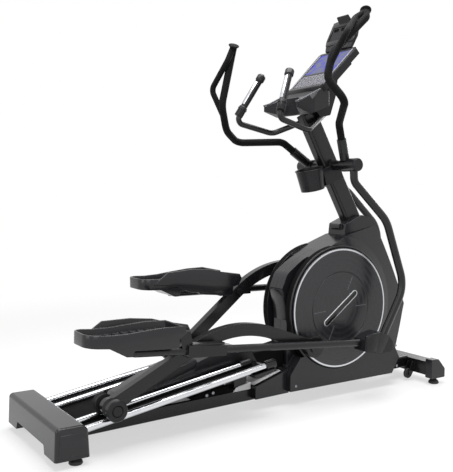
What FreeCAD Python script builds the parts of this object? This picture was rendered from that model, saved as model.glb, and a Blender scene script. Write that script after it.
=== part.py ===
import FreeCAD, Part
import math
import os
from types import SimpleNamespace

# Elliptical trainer with rear-running rail rollers, at its real size in millimetres.
# +X is forward (towards the front stabilizer), +Y is the user's left, +Z is up.
# The origin lies on the floor, under the middle of the machine.

doc = FreeCAD.newDocument("elliptical_trainer")
sheet = doc.addObject("Spreadsheet::Sheet", "sizes")

# alias, value, what it is
DRIVING = [
    # base
    ("fit_gap", 0.05, "radial running clearance of a pin in its bore"),
    ("part_gap", 2, "air between neighbouring moving pieces"),
    ("beam_width", 84, "main beam"),
    ("beam_height", 55, "main beam"),
    ("beam_rise", 1.27, "degrees, main beam climbs to the front"),
    ("beam_rear_level", 45, "centre height of the main beam at the rear stabilizer"),
    ("rear_tube_place", -900, "X of the rear stabilizer's centre"),
    ("rear_tube_width", 44, "rear stabilizer"),
    ("rear_tube_half", 245, "half length of the rear stabilizer"),
    ("tube_level", 40, "underside of both stabilizers"),
    ("front_tube_rear", 905, "X of the front stabilizer's rear face"),
    ("front_tube_width", 70, "front stabilizer"),
    ("front_tube_height", 65, "front stabilizer"),
    ("front_tube_half", 165, "half length of the front stabilizer"),
    ("cap_length", 40, "moulded end of the front stabilizer"),
    ("cap_overlap", 10, "end cap stands this far outside its tube"),
    ("foot_radius", 25, "levelling pad"),
    ("foot_height", 22, "levelling pad"),
    ("stem_radius", 6, "levelling screw"),
    ("rear_foot_reach", 230, "Y of the rear levelling feet"),
    ("front_foot_reach", 178, "Y of the front levelling feet"),
    ("cover_length", 126, "rear foot cover along X at the bottom"),
    ("cover_half", 266, "half width of the rear foot cover"),
    ("cover_bottom", 28, "underside of the rear foot cover"),
    ("cover_top", 142, "top of the rear foot cover"),
    ("cover_draft", 5, "rear and front faces of the cover lean in by this much"),
    ("cover_slant", 18, "slanted front edge of the cover's top"),
    ("cover_round", 11, "rounding of the cover's ends"),
    ("arch_half", 160, "half width of the arch in the cover's rear face"),
    ("arch_rise", 30, "height of that arch"),
    # rails
    ("rail_slope", 8.92, "degrees"),
    ("rail_level", 235.7, "height of the rail centre lines at X = 0"),
    ("rail_radius", 13, "chrome rail"),
    ("rail_inner", 110, "Y of the inner rails"),
    ("rail_outer", 200, "Y of the outer rails"),
    ("rail_inner_front", -100, "X of the front end of the inner rails"),
    ("rail_outer_front", -40, "X of the front end of the outer rails"),
    ("socket_radius", 18.6, "clamp at the front end of a rail"),
    ("socket_length", 46, "clamp at the front end of a rail"),
    ("bridge_length", 104, "plate that carries the rail clamps"),
    ("bridge_thick", 12, "plate that carries the rail clamps"),
    # rollers
    ("groove_radius", 25, "roller radius in the middle of its groove"),
    ("groove_air", 0.4, "air between a roller's groove and its rail"),
    ("flange_radius", 36, "roller flange"),
    ("roller_width", 30, "one grooved roller"),
    ("axle_radius", 8, "roller axle and pedal pivot pin"),
    ("cap_radius", 39.5, "round cover at the outer end of the roller axle"),
    ("cap_thick", 26, "round cover at the outer end of the roller axle"),
    # rail arms
    ("arm_inner", 147, "Y of the inner face of a rail arm"),
    ("arm_width", 34, "rail arm along Y"),
    ("arm_depth", 50, "rail arm in its plane"),
    ("arm_length", 948.1, "roller axle to crank pin"),
    ("arm_rear_angle", 19.26, "degrees, rear run above the pin line"),
    ("arm_front_angle", 26.9, "degrees, front run above the pin line"),
    ("arm_bow", 450, "radius of the arm's arch"),
    ("arm_boss", 47, "boss radius at the crank pin"),
    ("arm_heel", 30, "boss radius at the roller axle"),
    ("pedal_pivot_along", 374.2, "pedal arm pivot, along the pin line"),
    ("pedal_pivot_up", 130.8, "pedal arm pivot, above the pin line"),
    # crank
    ("crank_x", 406.5, "crank axis"),
    ("crank_level", 403, "crank axis"),
    ("crank_throw", 248.4, "crank axis to crank pin"),
    ("crank_phase", 213.8, "degrees, right crank pin from +X towards +Z"),
    ("crank_axle_radius", 15, "crank axle"),
    ("disc_radius", 269, "crank disc"),
    ("disc_thick", 18, "crank disc"),
    ("disc_face", 108, "Y of the outer face of a crank disc"),
    ("ring_radius", 262.5, "middle of the silver ring"),
    ("ring_width", 7, "silver ring"),
    ("ring_depth", 3, "silver ring sits in the disc by this much"),
    ("hub_line", 163, "groove round the middle field of a disc"),
    # swing arms and handles
    ("pivot_x", 418, "swing arm pivot"),
    ("pivot_level", 1040, "swing arm pivot"),
    ("pivot_radius", 12, "swing arm axle"),
    ("boss_radius", 22, "spacer between mast and swing hub"),
    ("hub_radius", 29, "swing arm hub"),
    ("hub_inner", 100, "Y of the inner end of a swing hub"),
    ("hub_outer", 190, "Y of the outer end of a swing hub"),
    ("swing_length", 794.4, "swing pivot to pedal arm pin"),
    ("swing_half_width", 15, "swing arm tube across"),
    ("swing_half_depth", 19, "swing arm tube in its plane"),
    ("handle_radius", 14, "handle tube"),
    ("grip_radius", 16.5, "foam grip"),
    ("loop_radius", 13, "second tube of the grip"),
    # pedal arms
    ("link_length", 928.0, "pedal arm pivot to swing arm pin"),
    ("link_place", 220, "Y of the pedal arm tubes"),
    ("link_radius", 15.5, "pedal arm tube"),
    ("sleeve_width", 50, "sleeve round the pedal arm tube"),
    ("sleeve_height", 46, "sleeve round the pedal arm tube"),
    ("pedal_length", 410, "pedal"),
    ("pedal_inner", 120, "Y of the inner side of a pedal"),
    ("pedal_width", 160, "pedal"),
    ("pedal_wall", 6, "pedal tray wall"),
    ("pedal_pitch", 4.63, "degrees, pedal stands level while its arm falls"),
    ("knuckle_width", 80, "cover over the swing arm pin"),
    ("knuckle_wall", 3, "cover over the swing arm pin"),
    # housing and mast
    ("spine_half", 45, "half width of the housing's front edge"),
    ("lip_face", 98, "Y of the raised lip round a crank disc"),
    ("lip_radius", 281, "lip round a crank disc"),
    ("cone_radius", 490, "side slope meets the front edge at this radius"),
    ("pan_back", 70, "Y of the back of the pan that holds a crank disc"),
    ("drum_half", 47, "half width of the housing behind the pans"),
    ("skirt_half", 100, "half width of the housing's lower skirt"),
    ("mast_lean", 29.5, "degrees, mast leans towards the user"),
    ("mast_depth", 88, "mast in its plane"),
    ("mast_width", 54, "mast along Y"),
    ("mast_round", 14, "mast corner"),
    ("mast_foot_x", 614, "mast centre line at its foot"),
    ("mast_foot_level", 690, "mast centre line at its foot"),
    ("mast_length", 666, "mast"),
    ("collar_half", 56, "half width of the mast collar"),
    # cockpit
    ("console_x", 277.5, "lower edge of the console face"),
    ("console_level", 1375, "lower edge of the console face"),
    ("console_tilt", 44.1, "degrees, console face"),
    ("console_height", 266, "console face along its slope"),
    ("console_half_low", 117, "half width of the console at its lower edge"),
    ("console_half_top", 127, "half width of the console at its upper edge"),
    ("console_thick", 30, "console at its sides"),
    ("bar_radius", 12.5, "fixed handlebar"),
    ("pulse_radius", 15, "pulse grip"),
    ("cup_radius", 62, "bottle holder at its rim"),
    ("cup_foot", 53, "bottle holder at its foot"),
    ("cup_height", 92, "bottle holder"),
    ("cup_wall", 3, "bottle holder"),
    ("wheel_radius", 24, "transport wheel"),
    ("wheel_half", 11, "half width of a transport wheel"),
    ("wheel_reach", 70, "Y of the transport wheels"),
    ("wheel_setback", 29, "transport wheel axis behind the front stabilizer"),
    ("wheel_level", 34, "transport wheel axis"),
    ("wheel_pin", 5, "radius of the transport wheel pin"),
    ("ear_thick", 4, "transport wheel bracket"),
    ("stem_hold", 12, "levelling screw inside its thread"),
    ("guard_half", 79, "half width of the guard between the rails"),
    ("button_travel", 1.5, "thumb button"),
]

for row, (alias, value, note) in enumerate(DRIVING, start=1):
    sheet.set(f"A{row}", alias)
    sheet.set(f"B{row}", str(value))
    sheet.set(f"C{row}", note)
    sheet.setAlias(f"B{row}", alias)
doc.recompute()
size = SimpleNamespace(**{alias: float(sheet.get(alias)) for alias, _, _ in DRIVING})

SIDES = {"right": -1, "left": 1}
UP = FreeCAD.Vector(0, 0, 1)
ALONG_Y = FreeCAD.Rotation(FreeCAD.Vector(1, 0, 0), -90)
nodes = []


# ---------------------------------------------------------------- shared builders

def vector(x, y, z):
    return FreeCAD.Vector(x, y, z)


def pitched(degrees):
    """Rotation in the machine's side plane, from +X towards +Z."""
    return FreeCAD.Rotation(vector(0, -1, 0), degrees)


def place(x, y, z, rotation=None):
    return FreeCAD.Placement(vector(x, y, z), rotation or FreeCAD.Rotation())


def node(thing, name):
    """Names a finished sub-part and puts it on the list that is exported."""
    thing.Label = name
    nodes.append(thing)
    return thing


def bound(thing, **expressions):
    """Ties properties of an object to cells of the sheet."""
    for field, text in expressions.items():
        thing.setExpression(field, text)
    return thing


def cells(text):
    """Expression text in which every driving size is read from the sheet."""
    words = []
    word = ""
    for sign in text + " ":
        if sign.isalpha() or sign == "_":
            word += sign
            continue
        words.append("sizes." + word if hasattr(size, word) else word)
        words.append(sign)
        word = ""
    return "".join(words).strip()


def cylinder(radius, length, where):
    thing = doc.addObject("Part::Cylinder", "cylinder")
    bound(thing, Radius=cells(radius), Height=cells(length))
    thing.Placement = where
    return thing


def block(length, width, height, where):
    thing = doc.addObject("Part::Box", "block")
    bound(thing, Length=cells(length), Width=cells(width), Height=cells(height))
    thing.Placement = where
    return thing


def cross_bar(radius, y_from, y_to, x, z):
    """Cylinder along Y between two distances from the mid-plane."""
    low = min(y_from, y_to)
    thing = doc.addObject("Part::Cylinder", "cross_bar")
    bound(thing, Radius=cells(radius))
    thing.Height = abs(y_to - y_from)
    thing.Placement = place(x, low, z, ALONG_Y)
    return thing


def joined(*pieces):
    thing = doc.addObject("Part::MultiFuse", "joined")
    thing.Shapes = list(pieces)
    return thing


def shared(*pieces):
    thing = doc.addObject("Part::MultiCommon", "shared")
    thing.Shapes = list(pieces)
    return thing


def without(base, *tools):
    """Base with the tools cut away, one after another."""
    for tool in tools:
        thing = doc.addObject("Part::Cut", "without")
        thing.Base = base
        thing.Tool = tool
        base = thing
    return base


def group(*pieces):
    """Separate solids of one sub-part."""
    thing = doc.addObject("Part::Compound", "group")
    thing.Links = list(pieces)
    return thing


def corner(before, at, after, bend):
    """Tangent arc that rounds a corner: its first, middle and last point."""
    back = (before - at).normalize()
    ahead = (after - at).normalize()
    half = back.getAngle(ahead) / 2
    reach = bend / math.tan(half)
    bisector = (back + ahead).normalize()
    middle = at + bisector * (bend / math.sin(half) - bend)
    return at + back * reach, middle, at + ahead * reach


def route(points, bends):
    """Straight runs joined by tangent arcs; bends holds one radius per inner point."""
    pieces = []
    start = points[0]
    for index, bend in enumerate(bends, start=1):
        first, middle, last = corner(points[index - 1], points[index], points[index + 1], bend)
        if (first - start).Length > 1e-6:
            pieces.append(Part.LineSegment(start, first))
        pieces.append(Part.Arc(first, middle, last))
        start = last
    pieces.append(Part.LineSegment(start, points[-1]))
    return pieces


def outline(corners):
    """Closed outline from (x, y) or (x, y, bend) corners."""
    flat = [vector(item[0], item[1], 0) for item in corners]
    bends = [item[2] if len(item) > 2 else 0 for item in corners]
    count = len(flat)
    arcs = []
    for index in range(count):
        if bends[index]:
            arcs.append(corner(flat[index - 1], flat[index], flat[(index + 1) % count], bends[index]))
        else:
            arcs.append((flat[index], None, flat[index]))
    pieces = []
    for index in range(count):
        first, middle, last = arcs[index]
        if middle:
            pieces.append(Part.Arc(first, middle, last))
        following = arcs[(index + 1) % count][0]
        if (following - last).Length > 1e-6:
            pieces.append(Part.LineSegment(last, following))
    return pieces


def sketch_in(body, role, pieces):
    plane = next(item for item in body.Origin.OriginFeatures if item.Role == role)
    sketch = body.newObject("Sketcher::SketchObject", "profile")
    sketch.AttachmentSupport = [(plane, "")]
    sketch.MapMode = "FlatFace"
    sketch.addGeometry(pieces, False)
    return sketch


def padded(corners, length, where, role="XZ_Plane"):
    """Body padded evenly to both sides of its sketch plane."""
    body = doc.addObject("PartDesign::Body", "body")
    sketch = sketch_in(body, role, outline(corners))
    pad = body.newObject("PartDesign::Pad", "pad")
    pad.Profile = sketch
    pad.SideType = "Symmetric"
    if isinstance(length, str):
        bound(pad, Length=cells(length))
    else:
        pad.Length = length
    body.Placement = where
    return body


def turned(corners, where, role="XY_Plane"):
    """Body of revolution; corners are (radius, distance along the axis)."""
    body = doc.addObject("PartDesign::Body", "body")
    sketch = sketch_in(body, role, outline(corners))
    turn = body.newObject("PartDesign::Revolution", "turn")
    turn.Profile = sketch
    turn.ReferenceAxis = (sketch, ["V_Axis"])
    turn.Angle = 360
    body.Placement = where
    return body


def tube(points, bends, radius, depth=None):
    """Round or oval bar swept along straight runs and tangent arcs."""
    spine = doc.addObject("Part::Feature", "centre_line")
    spine.Shape = Part.Wire([piece.toShape() for piece in route(points, bends)])
    ahead = (points[1] - points[0]).normalize()
    if depth:
        section = doc.addObject("Part::Ellipse", "section")
        bound(section, MajorRadius=cells(depth), MinorRadius=cells(radius))
        side = vector(0, 1, 0)
        major = side.cross(ahead)
        section.Placement = FreeCAD.Placement(points[0], FreeCAD.Rotation(major, side, ahead, "ZXY"))
    else:
        section = doc.addObject("Part::Circle", "section")
        bound(section, Radius=cells(radius))
        section.Placement = FreeCAD.Placement(points[0], FreeCAD.Rotation(UP, ahead))
    sweep = doc.addObject("Part::Sweep", "tube")
    sweep.Sections = [section]
    sweep.Spine = (spine, [f"Edge{number + 1}" for number in range(len(spine.Shape.Edges))])
    sweep.Solid = True
    sweep.Frenet = False
    return sweep


def moved(thing, where):
    """Copy of a finished object at another place."""
    copy = doc.addObject("Part::Compound", "moved")
    copy.Links = [thing]
    copy.Placement = where
    return copy


# ---------------------------------------------------------------- linkage

SLOPE = math.radians(size.rail_slope)
RIDE = (size.groove_radius + size.rail_radius) / math.cos(SLOPE)


def rail_height(x):
    return size.rail_level + x * math.tan(SLOPE)


def linkage(phase):
    """Places and tilts of one side's links for a crank phase in degrees."""
    turn = math.radians(phase)
    pin = (size.crank_x + size.crank_throw * math.cos(turn),
           size.crank_level + size.crank_throw * math.sin(turn))
    # the roller axle runs on a line parallel to the rails, an arm's length behind the crank pin
    over = (pin[1] - rail_height(pin[0]) - RIDE) * math.cos(SLOPE)
    tilt = SLOPE + math.asin(over / size.arm_length)
    axle = (pin[0] - size.arm_length * math.cos(tilt), pin[1] - size.arm_length * math.sin(tilt))
    pivot = (axle[0] + size.pedal_pivot_along * math.cos(tilt) - size.pedal_pivot_up * math.sin(tilt),
             axle[1] + size.pedal_pivot_along * math.sin(tilt) + size.pedal_pivot_up * math.cos(tilt))
    # the swing arm pin closes the triangle below the swing pivot
    across = (size.pivot_x - pivot[0], size.pivot_level - pivot[1])
    span = math.hypot(*across)
    share = (size.link_length ** 2 - size.swing_length ** 2 + span ** 2) / (2 * span)
    offset = math.sqrt(size.link_length ** 2 - share ** 2)
    lean = math.atan2(across[1], across[0])
    link_tilt = lean - math.atan2(offset, share)
    knuckle = (pivot[0] + size.link_length * math.cos(link_tilt),
               pivot[1] + size.link_length * math.sin(link_tilt))
    swing_tilt = math.atan2(knuckle[1] - size.pivot_level, knuckle[0] - size.pivot_x)
    return SimpleNamespace(axle=axle, pivot=pivot, pin=pin, knuckle=knuckle, arm_tilt=math.degrees(tilt),
                           link_tilt=math.degrees(link_tilt), swing_tilt=math.degrees(swing_tilt))


POSES = {"right": linkage(size.crank_phase), "left": linkage(size.crank_phase + 180)}


def arm_place(side):
    pose = POSES[side]
    return place(pose.axle[0], 0, pose.axle[1], pitched(pose.arm_tilt))


def link_place(side):
    pose = POSES[side]
    return place(pose.pivot[0], 0, pose.pivot[1], pitched(pose.link_tilt))


def swing_place(side):
    """Frame at the swing pivot whose -Z runs to the swing arm pin."""
    pose = POSES[side]
    return place(size.pivot_x, 0, size.pivot_level, pitched(pose.swing_tilt + 90))


# ---------------------------------------------------------------- base frame

BEAM_REAR = size.rear_tube_place + size.rear_tube_width / 2
BEAM_LENGTH = (size.front_tube_rear - BEAM_REAR) / math.cos(math.radians(size.beam_rise))


def beam_height_at(x):
    return size.beam_rear_level + (x - BEAM_REAR) * math.tan(math.radians(size.beam_rise))


def make_beam():
    half_w = size.beam_width / 2
    half_h = size.beam_height / 2
    section = [(-half_w, -half_h, 8), (half_w, -half_h, 8), (half_w, half_h, 8), (-half_w, half_h, 8)]
    centre = (BEAM_REAR + size.front_tube_rear) / 2
    where = place(centre, 0, beam_height_at(centre), pitched(size.beam_rise))
    return padded(section, BEAM_LENGTH, where, "YZ_Plane")


def screw_hole(x, y, level, above=0):
    """Round hole for a levelling screw, from just below a level to the end of its thread."""
    hole = doc.addObject("Part::Cylinder", "screw_hole")
    bound(hole, Radius=cells("stem_radius+fit_gap"))
    hole.Height = above + size.stem_hold + 1
    hole.Placement = place(x, y, level - 1)
    return hole


def make_rear_tube():
    tube_block = block("rear_tube_width", "2*rear_tube_half", "rear_tube_width",
                       place(BEAM_REAR - size.rear_tube_width, -size.rear_tube_half, size.tube_level))
    holes = []
    for sign in SIDES.values():
        holes.append(screw_hole(foot_places[0][0], sign * foot_places[0][1], size.tube_level))
    return without(tube_block, *holes)


def make_front_tube():
    """Cross tube with two brackets and pins for the transport wheels."""
    bar = block("front_tube_width", "2*front_tube_half", "front_tube_height",
                place(size.front_tube_rear, -size.front_tube_half, size.tube_level))
    pieces = [bar]
    x = size.front_tube_rear - size.wheel_setback
    z = size.wheel_level
    gap = size.wheel_half + 0.5
    for sign in SIDES.values():
        middle = sign * size.wheel_reach
        for way in (-1, 1):
            y = middle + way * (gap + size.ear_thick / 2)
            pieces.append(padded([(x - 9, z - 9, 8.9), (x + 9, z - 9, 4), (size.front_tube_rear, z + 16),
                                  (size.front_tube_rear, z + 58), (x + 16, z + 58, 6), (x - 9, z + 12, 10)],
                                 "ear_thick", place(0, y, 0)))
        reach = gap + size.ear_thick + 2
        pieces.append(cross_bar("wheel_pin", middle - reach, middle + reach, x, z))
    return joined(*pieces)


def make_front_caps():
    """Moulded end caps with a sloping front."""
    low = size.tube_level - size.cap_overlap
    high = size.tube_level + size.front_tube_height + 1.7 * size.cap_overlap
    rear = size.front_tube_rear - size.cap_overlap
    front = size.front_tube_rear + size.front_tube_width + size.cap_overlap
    middle = (rear + front) / 2
    caps = []
    for side in SIDES.values():
        y = side * (size.front_tube_half + size.cap_length / 2)
        cap = padded([(rear, low, 4), (front, low, 6), (front, low + 42, 10), (middle, high, 14),
                      (rear, high, 6)],
                     "cap_length", place(0, y, 0))
        caps.append(cap)
    holes = [screw_hole(foot_places[1][0], sign * foot_places[1][1], low) for sign in SIDES.values()]
    return without(group(*caps), *holes)


def make_rear_cover(tube_shape, beam_shape, rails):
    """Long moulding over the rear stabilizer with an arch between its feet."""
    front = size.rear_tube_place + size.rear_tube_width
    rear = front - size.cover_length
    top = size.cover_top
    draft = size.cover_draft
    profile = [(rear, size.cover_bottom), (rear + draft, top, 16),
               (front - draft - size.cover_slant, top, 15), (front - draft, top - size.cover_slant, 15),
               (front, size.cover_bottom)]
    whole = padded(profile, "2*cover_half", place(0, 0, 0))
    doc.recompute()
    rounded = doc.addObject("Part::Fillet", "cover_rounded")
    rounded.Base = whole
    picked = []
    for number, edge in enumerate(whole.Shape.Edges, start=1):
        at_end = min(abs(vertex.Y) for vertex in edge.Vertexes) > size.cover_half - 1
        low = max(vertex.Z for vertex in edge.Vertexes) < size.cover_bottom + 1
        if at_end and not low:
            picked.append((number, size.cover_round, size.cover_round))
    rounded.Edges = picked
    arch = padded([(-size.arch_half, size.cover_bottom - 5), (size.arch_half, size.cover_bottom - 5),
                   (size.arch_half - 12, size.cover_bottom + size.arch_rise, 8),
                   (-size.arch_half + 12, size.cover_bottom + size.arch_rise, 8)],
                  60, place(rear, 0, 0), "YZ_Plane")
    above = size.tube_level - size.cover_bottom
    holes = []
    for sign in SIDES.values():
        holes.append(screw_hole(foot_places[0][0], sign * foot_places[0][1], size.cover_bottom, above))
    return without(rounded, arch, tube_shape, beam_shape, *holes, *rails)


def make_foot(x, y, top):
    """Rubber levelling pad with its screw."""
    shape = turned([(0, 0), (size.foot_radius - 3, 0), (size.foot_radius, 4), (size.foot_radius - 2, 12),
                    (size.foot_radius - 8, size.foot_height - 4), (size.foot_radius - 12, size.foot_height),
                    (size.stem_radius, size.foot_height), (size.stem_radius, top), (0, top)],
                   place(x, y, 0), "XZ_Plane")
    return shape


def rail_bar(y, front):
    rear = size.rear_tube_place + size.rear_tube_width / 2 - 8
    length = (front - rear) / math.cos(SLOPE)
    thing = doc.addObject("Part::Cylinder", "rail")
    bound(thing, Radius=cells("rail_radius"))
    thing.Height = length
    thing.Placement = place(rear, y, rail_height(rear), FreeCAD.Rotation(UP, vector(math.cos(SLOPE), 0,
                                                                                    math.sin(SLOPE))))
    return thing


def make_bridge(rails, beam_shape):
    """Plate on two posts that clamps the front ends of the four rails."""
    pieces = []
    for y, front in ((size.rail_inner, size.rail_inner_front), (size.rail_outer, size.rail_outer_front)):
        for side in SIDES.values():
            socket = doc.addObject("Part::Cylinder", "socket")
            bound(socket, Radius=cells("socket_radius"), Height=cells("socket_length"))
            back = front - (size.socket_length - 8) * math.cos(SLOPE)
            socket.Placement = place(back, side * y, rail_height(back),
                                     FreeCAD.Rotation(UP, vector(math.cos(SLOPE), 0, math.sin(SLOPE))))
            pieces.append(socket)
    start = size.rail_inner_front - size.socket_length + 8
    drop = (size.socket_radius - 2 + size.bridge_thick) / math.cos(SLOPE)
    plate = block("bridge_length", "2*(rail_outer+socket_radius)", "bridge_thick",
                  place(start, -size.rail_outer - size.socket_radius, rail_height(start) - drop,
                        pitched(size.rail_slope)))
    pieces.append(plate)
    post_top = rail_height(start) - drop + 12
    post_low = beam_height_at(start) + size.beam_height / 2 - 4
    post_end = start + size.bridge_length - 20
    post = padded([(start + 20, post_low), (post_end, post_low), (post_end, post_top),
                   (start + 20, post_top)],
                  "beam_width-14", place(0, 0, 0))
    pieces.append(post)
    return without(joined(*pieces), beam_shape, *rails)


def bridge_top(x):
    return rail_height(x) - (size.socket_radius - 2) / math.cos(SLOPE)


def make_guard():
    """Humped cover between the rails, standing on the plate that carries them."""
    rear = size.rail_inner_front - 240
    seat = size.rail_inner_front - size.socket_length + 6
    front = size.rail_inner_front + 66
    return padded([(rear, 205, 6), (rear + 15, 245, 20), (rear + 175, 293, 60), (front - 28, 262, 30),
                   (front, bridge_top(front)), (seat, bridge_top(seat))], "2*guard_half", place(0, 0, 0))


# ---------------------------------------------------------------- housing and mast

HOUSING_TOP_REAR = (468, 724)
HOUSING_TOP_FRONT = (664, 766)


def housing_outline():
    """Side outline of the drive housing: a drum behind the discs under a hood, straight in front."""
    return outline([(150, 58), (150, 200), (147, 452, 8), (121, 500, 10), (150, 566, 60), (225, 620, 300),
                    (320, 664, 300), HOUSING_TOP_REAR, HOUSING_TOP_FRONT,
                    (815, 468), (862, 378), (852, 345), (806, 150), (772, 58)])


def make_housing(side, tools):
    """Half of the housing: hood and front panel, the pan round the crank disc, and the lower skirt."""
    sign = SIDES[side]
    slab = doc.addObject("PartDesign::Body", "body")
    sketch = sketch_in(slab, "XZ_Plane", housing_outline())
    pad = slab.newObject("PartDesign::Pad", "pad")
    pad.Profile = sketch
    bound(pad, Length=cells("lip_face+4"))
    pad.Reversed = sign > 0
    floor = size.disc_face - size.disc_thick - size.part_gap
    well = size.disc_radius + 2.5
    lip = size.lip_radius
    face = size.lip_face
    flank = [(0, 0), (size.cone_radius + 120, 0), (size.cone_radius + 120, 30),
             (size.cone_radius, size.spine_half),
             (lip + 44, 74, 30), (lip + 3, face - 12), (0, face - 12)]
    drum = turned([(item[0], sign * item[1]) + tuple(item[2:]) for item in flank],
                  place(size.crank_x, 0, size.crank_level))
    # the housing is narrower behind the pan
    middle = sign * (size.drum_half + face) / 2
    relief = padded([(60, 150), (250, 150), (262, 700), (60, 700)], face - size.drum_half,
                    place(0, middle, 0))
    pan_profile = [(0, size.pan_back), (lip - 3, size.pan_back), (lip, size.pan_back + 3), (lip, face, 2),
                   (lip - 4, face + 3, 2), (well + 2, face + 3, 1), (well, face - 1), (0, face - 1)]
    pan = turned([(item[0], sign * item[1]) + tuple(item[2:]) for item in pan_profile],
                 place(size.crank_x, 0, size.crank_level))
    skirt = padded([(130, 60), (130, 131, 6), (187, 205, 10), (745, 205, 30), (785, 130, 10), (738, 60)],
                   "skirt_half", place(0, sign * size.skirt_half / 2, 0))
    well_cut = cross_bar("disc_radius+2.5", sign * floor, sign * (size.disc_face + 20),
                         size.crank_x, size.crank_level)
    axle_cut = cross_bar("crank_axle_radius+fit_gap", -size.disc_face, size.disc_face, size.crank_x,
                         size.crank_level)
    shell = without(shared(slab, drum), relief)
    return without(joined(shell, pan, skirt), well_cut, axle_cut, *tools)


def make_mast():
    half_d = size.mast_depth / 2
    half_w = size.mast_width / 2
    bend = size.mast_round
    section = [(-half_d, -half_w, bend), (half_d, -half_w, bend), (half_d, half_w, bend),
               (-half_d, half_w, bend)]
    middle = size.mast_length / 2
    lean = math.radians(size.mast_lean)
    where = place(size.mast_foot_x - middle * math.sin(lean), 0,
                  size.mast_foot_level + middle * math.cos(lean),
                  pitched(size.mast_lean))
    return padded(section, "mast_length", where, "XY_Plane")


def make_collar(mast_shape):
    (x1, z1), (x2, z2) = HOUSING_TOP_REAR, HOUSING_TOP_FRONT
    collar = padded([(x1, z1), (x1 + 6, z1 + 50, 6), (572, 814, 6), (640, 798, 6), (x2, z2)],
                    "2*collar_half", place(0, 0, 0))
    knob = cross_bar("15", -30, 28, 472, 762)
    return without(joined(collar, knob), mast_shape)


# ---------------------------------------------------------------- crank

def make_disc(side):
    sign = SIDES[side]
    face = size.disc_face
    back = face - size.disc_thick
    line = size.hub_line
    inner = size.ring_radius - size.ring_width / 2
    outer = size.ring_radius + size.ring_width / 2
    profile = [(0, back), (size.disc_radius, back), (size.disc_radius, face - 2),
               (size.disc_radius - 2, face),
               (outer, face), (outer, face - size.ring_depth), (inner, face - size.ring_depth),
               (inner, face),
               (line + 3, face - 1.5), (line + 1.5, face - 4), (line - 1.5, face - 4),
               (line - 3, face - 1.5),
               (0, face - 1.5)]
    return turned([(r, sign * y) for r, y in profile], place(size.crank_x, 0, size.crank_level))


def make_ring(side):
    sign = SIDES[side]
    inner = size.ring_radius - size.ring_width / 2
    outer = size.ring_radius + size.ring_width / 2
    face = size.disc_face
    back = face - size.ring_depth
    return turned([(inner, sign * back), (outer, sign * back), (outer, sign * face), (inner, sign * face)],
                  place(size.crank_x, 0, size.crank_level))


# ---------------------------------------------------------------- one side's links

def make_rollers(side):
    """Two grooved rollers; the groove is the rail's own curve with a little air."""
    sign = SIDES[side]
    pose = POSES[side]
    rollers = []
    half = size.roller_width / 2
    bore = size.axle_radius + size.fit_gap
    groove = size.rail_radius + size.groove_air
    edge = size.rail_radius - 0.5
    rise = size.groove_radius + size.rail_radius - math.sqrt(groove ** 2 - edge ** 2)
    flange = size.flange_radius
    for y in (size.rail_inner, size.rail_outer):
        low = vector(rise, -edge, 0)
        mid = vector(size.groove_radius - size.groove_air, 0, 0)
        high = vector(rise, edge, 0)
        pieces = [Part.Arc(low, mid, high)]
        loop = [high, vector(flange, edge + 1, 0), vector(flange, half, 0), vector(bore, half, 0),
                vector(bore, -half, 0), vector(flange, -half, 0), vector(flange, -edge - 1, 0), low]
        for first, last in zip(loop, loop[1:]):
            pieces.append(Part.LineSegment(first, last))
        body = doc.addObject("PartDesign::Body", "body")
        sketch = sketch_in(body, "XY_Plane", pieces)
        turn = body.newObject("PartDesign::Revolution", "turn")
        turn.Profile = sketch
        turn.ReferenceAxis = (sketch, ["V_Axis"])
        body.Placement = place(pose.axle[0], sign * y, pose.axle[1])
        rollers.append(body)
    return group(*rollers)


def make_roller_axle(side):
    """Axle with its spacer and the round cover on its outer end."""
    sign = SIDES[side]
    pose = POSES[side]
    inner_end = size.rail_inner - size.roller_width / 2 - 8
    spacer_from = size.rail_inner + size.roller_width / 2 + 0.5
    spacer_to = size.arm_inner - 0.5
    cover_from = size.rail_outer + size.roller_width / 2 + 0.8
    cover_to = cover_from + size.cap_thick
    r = size.axle_radius
    cap = size.cap_radius
    profile = [(0, inner_end - 4), (14, inner_end - 4), (14, inner_end + 7.5), (r, inner_end + 7.5),
               (r, spacer_from),
               (18, spacer_from), (18, spacer_to), (r, spacer_to), (r, cover_from), (cap - 2, cover_from),
               (cap, cover_from + 2), (cap, cover_to - 4), (cap - 4, cover_to), (22, cover_to),
               (21, cover_to - 1.5),
               (18, cover_to - 1.5), (17, cover_to), (0, cover_to)]
    return turned([(radius, sign * y) for radius, y in profile], place(pose.axle[0], 0, pose.axle[1]))


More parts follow.
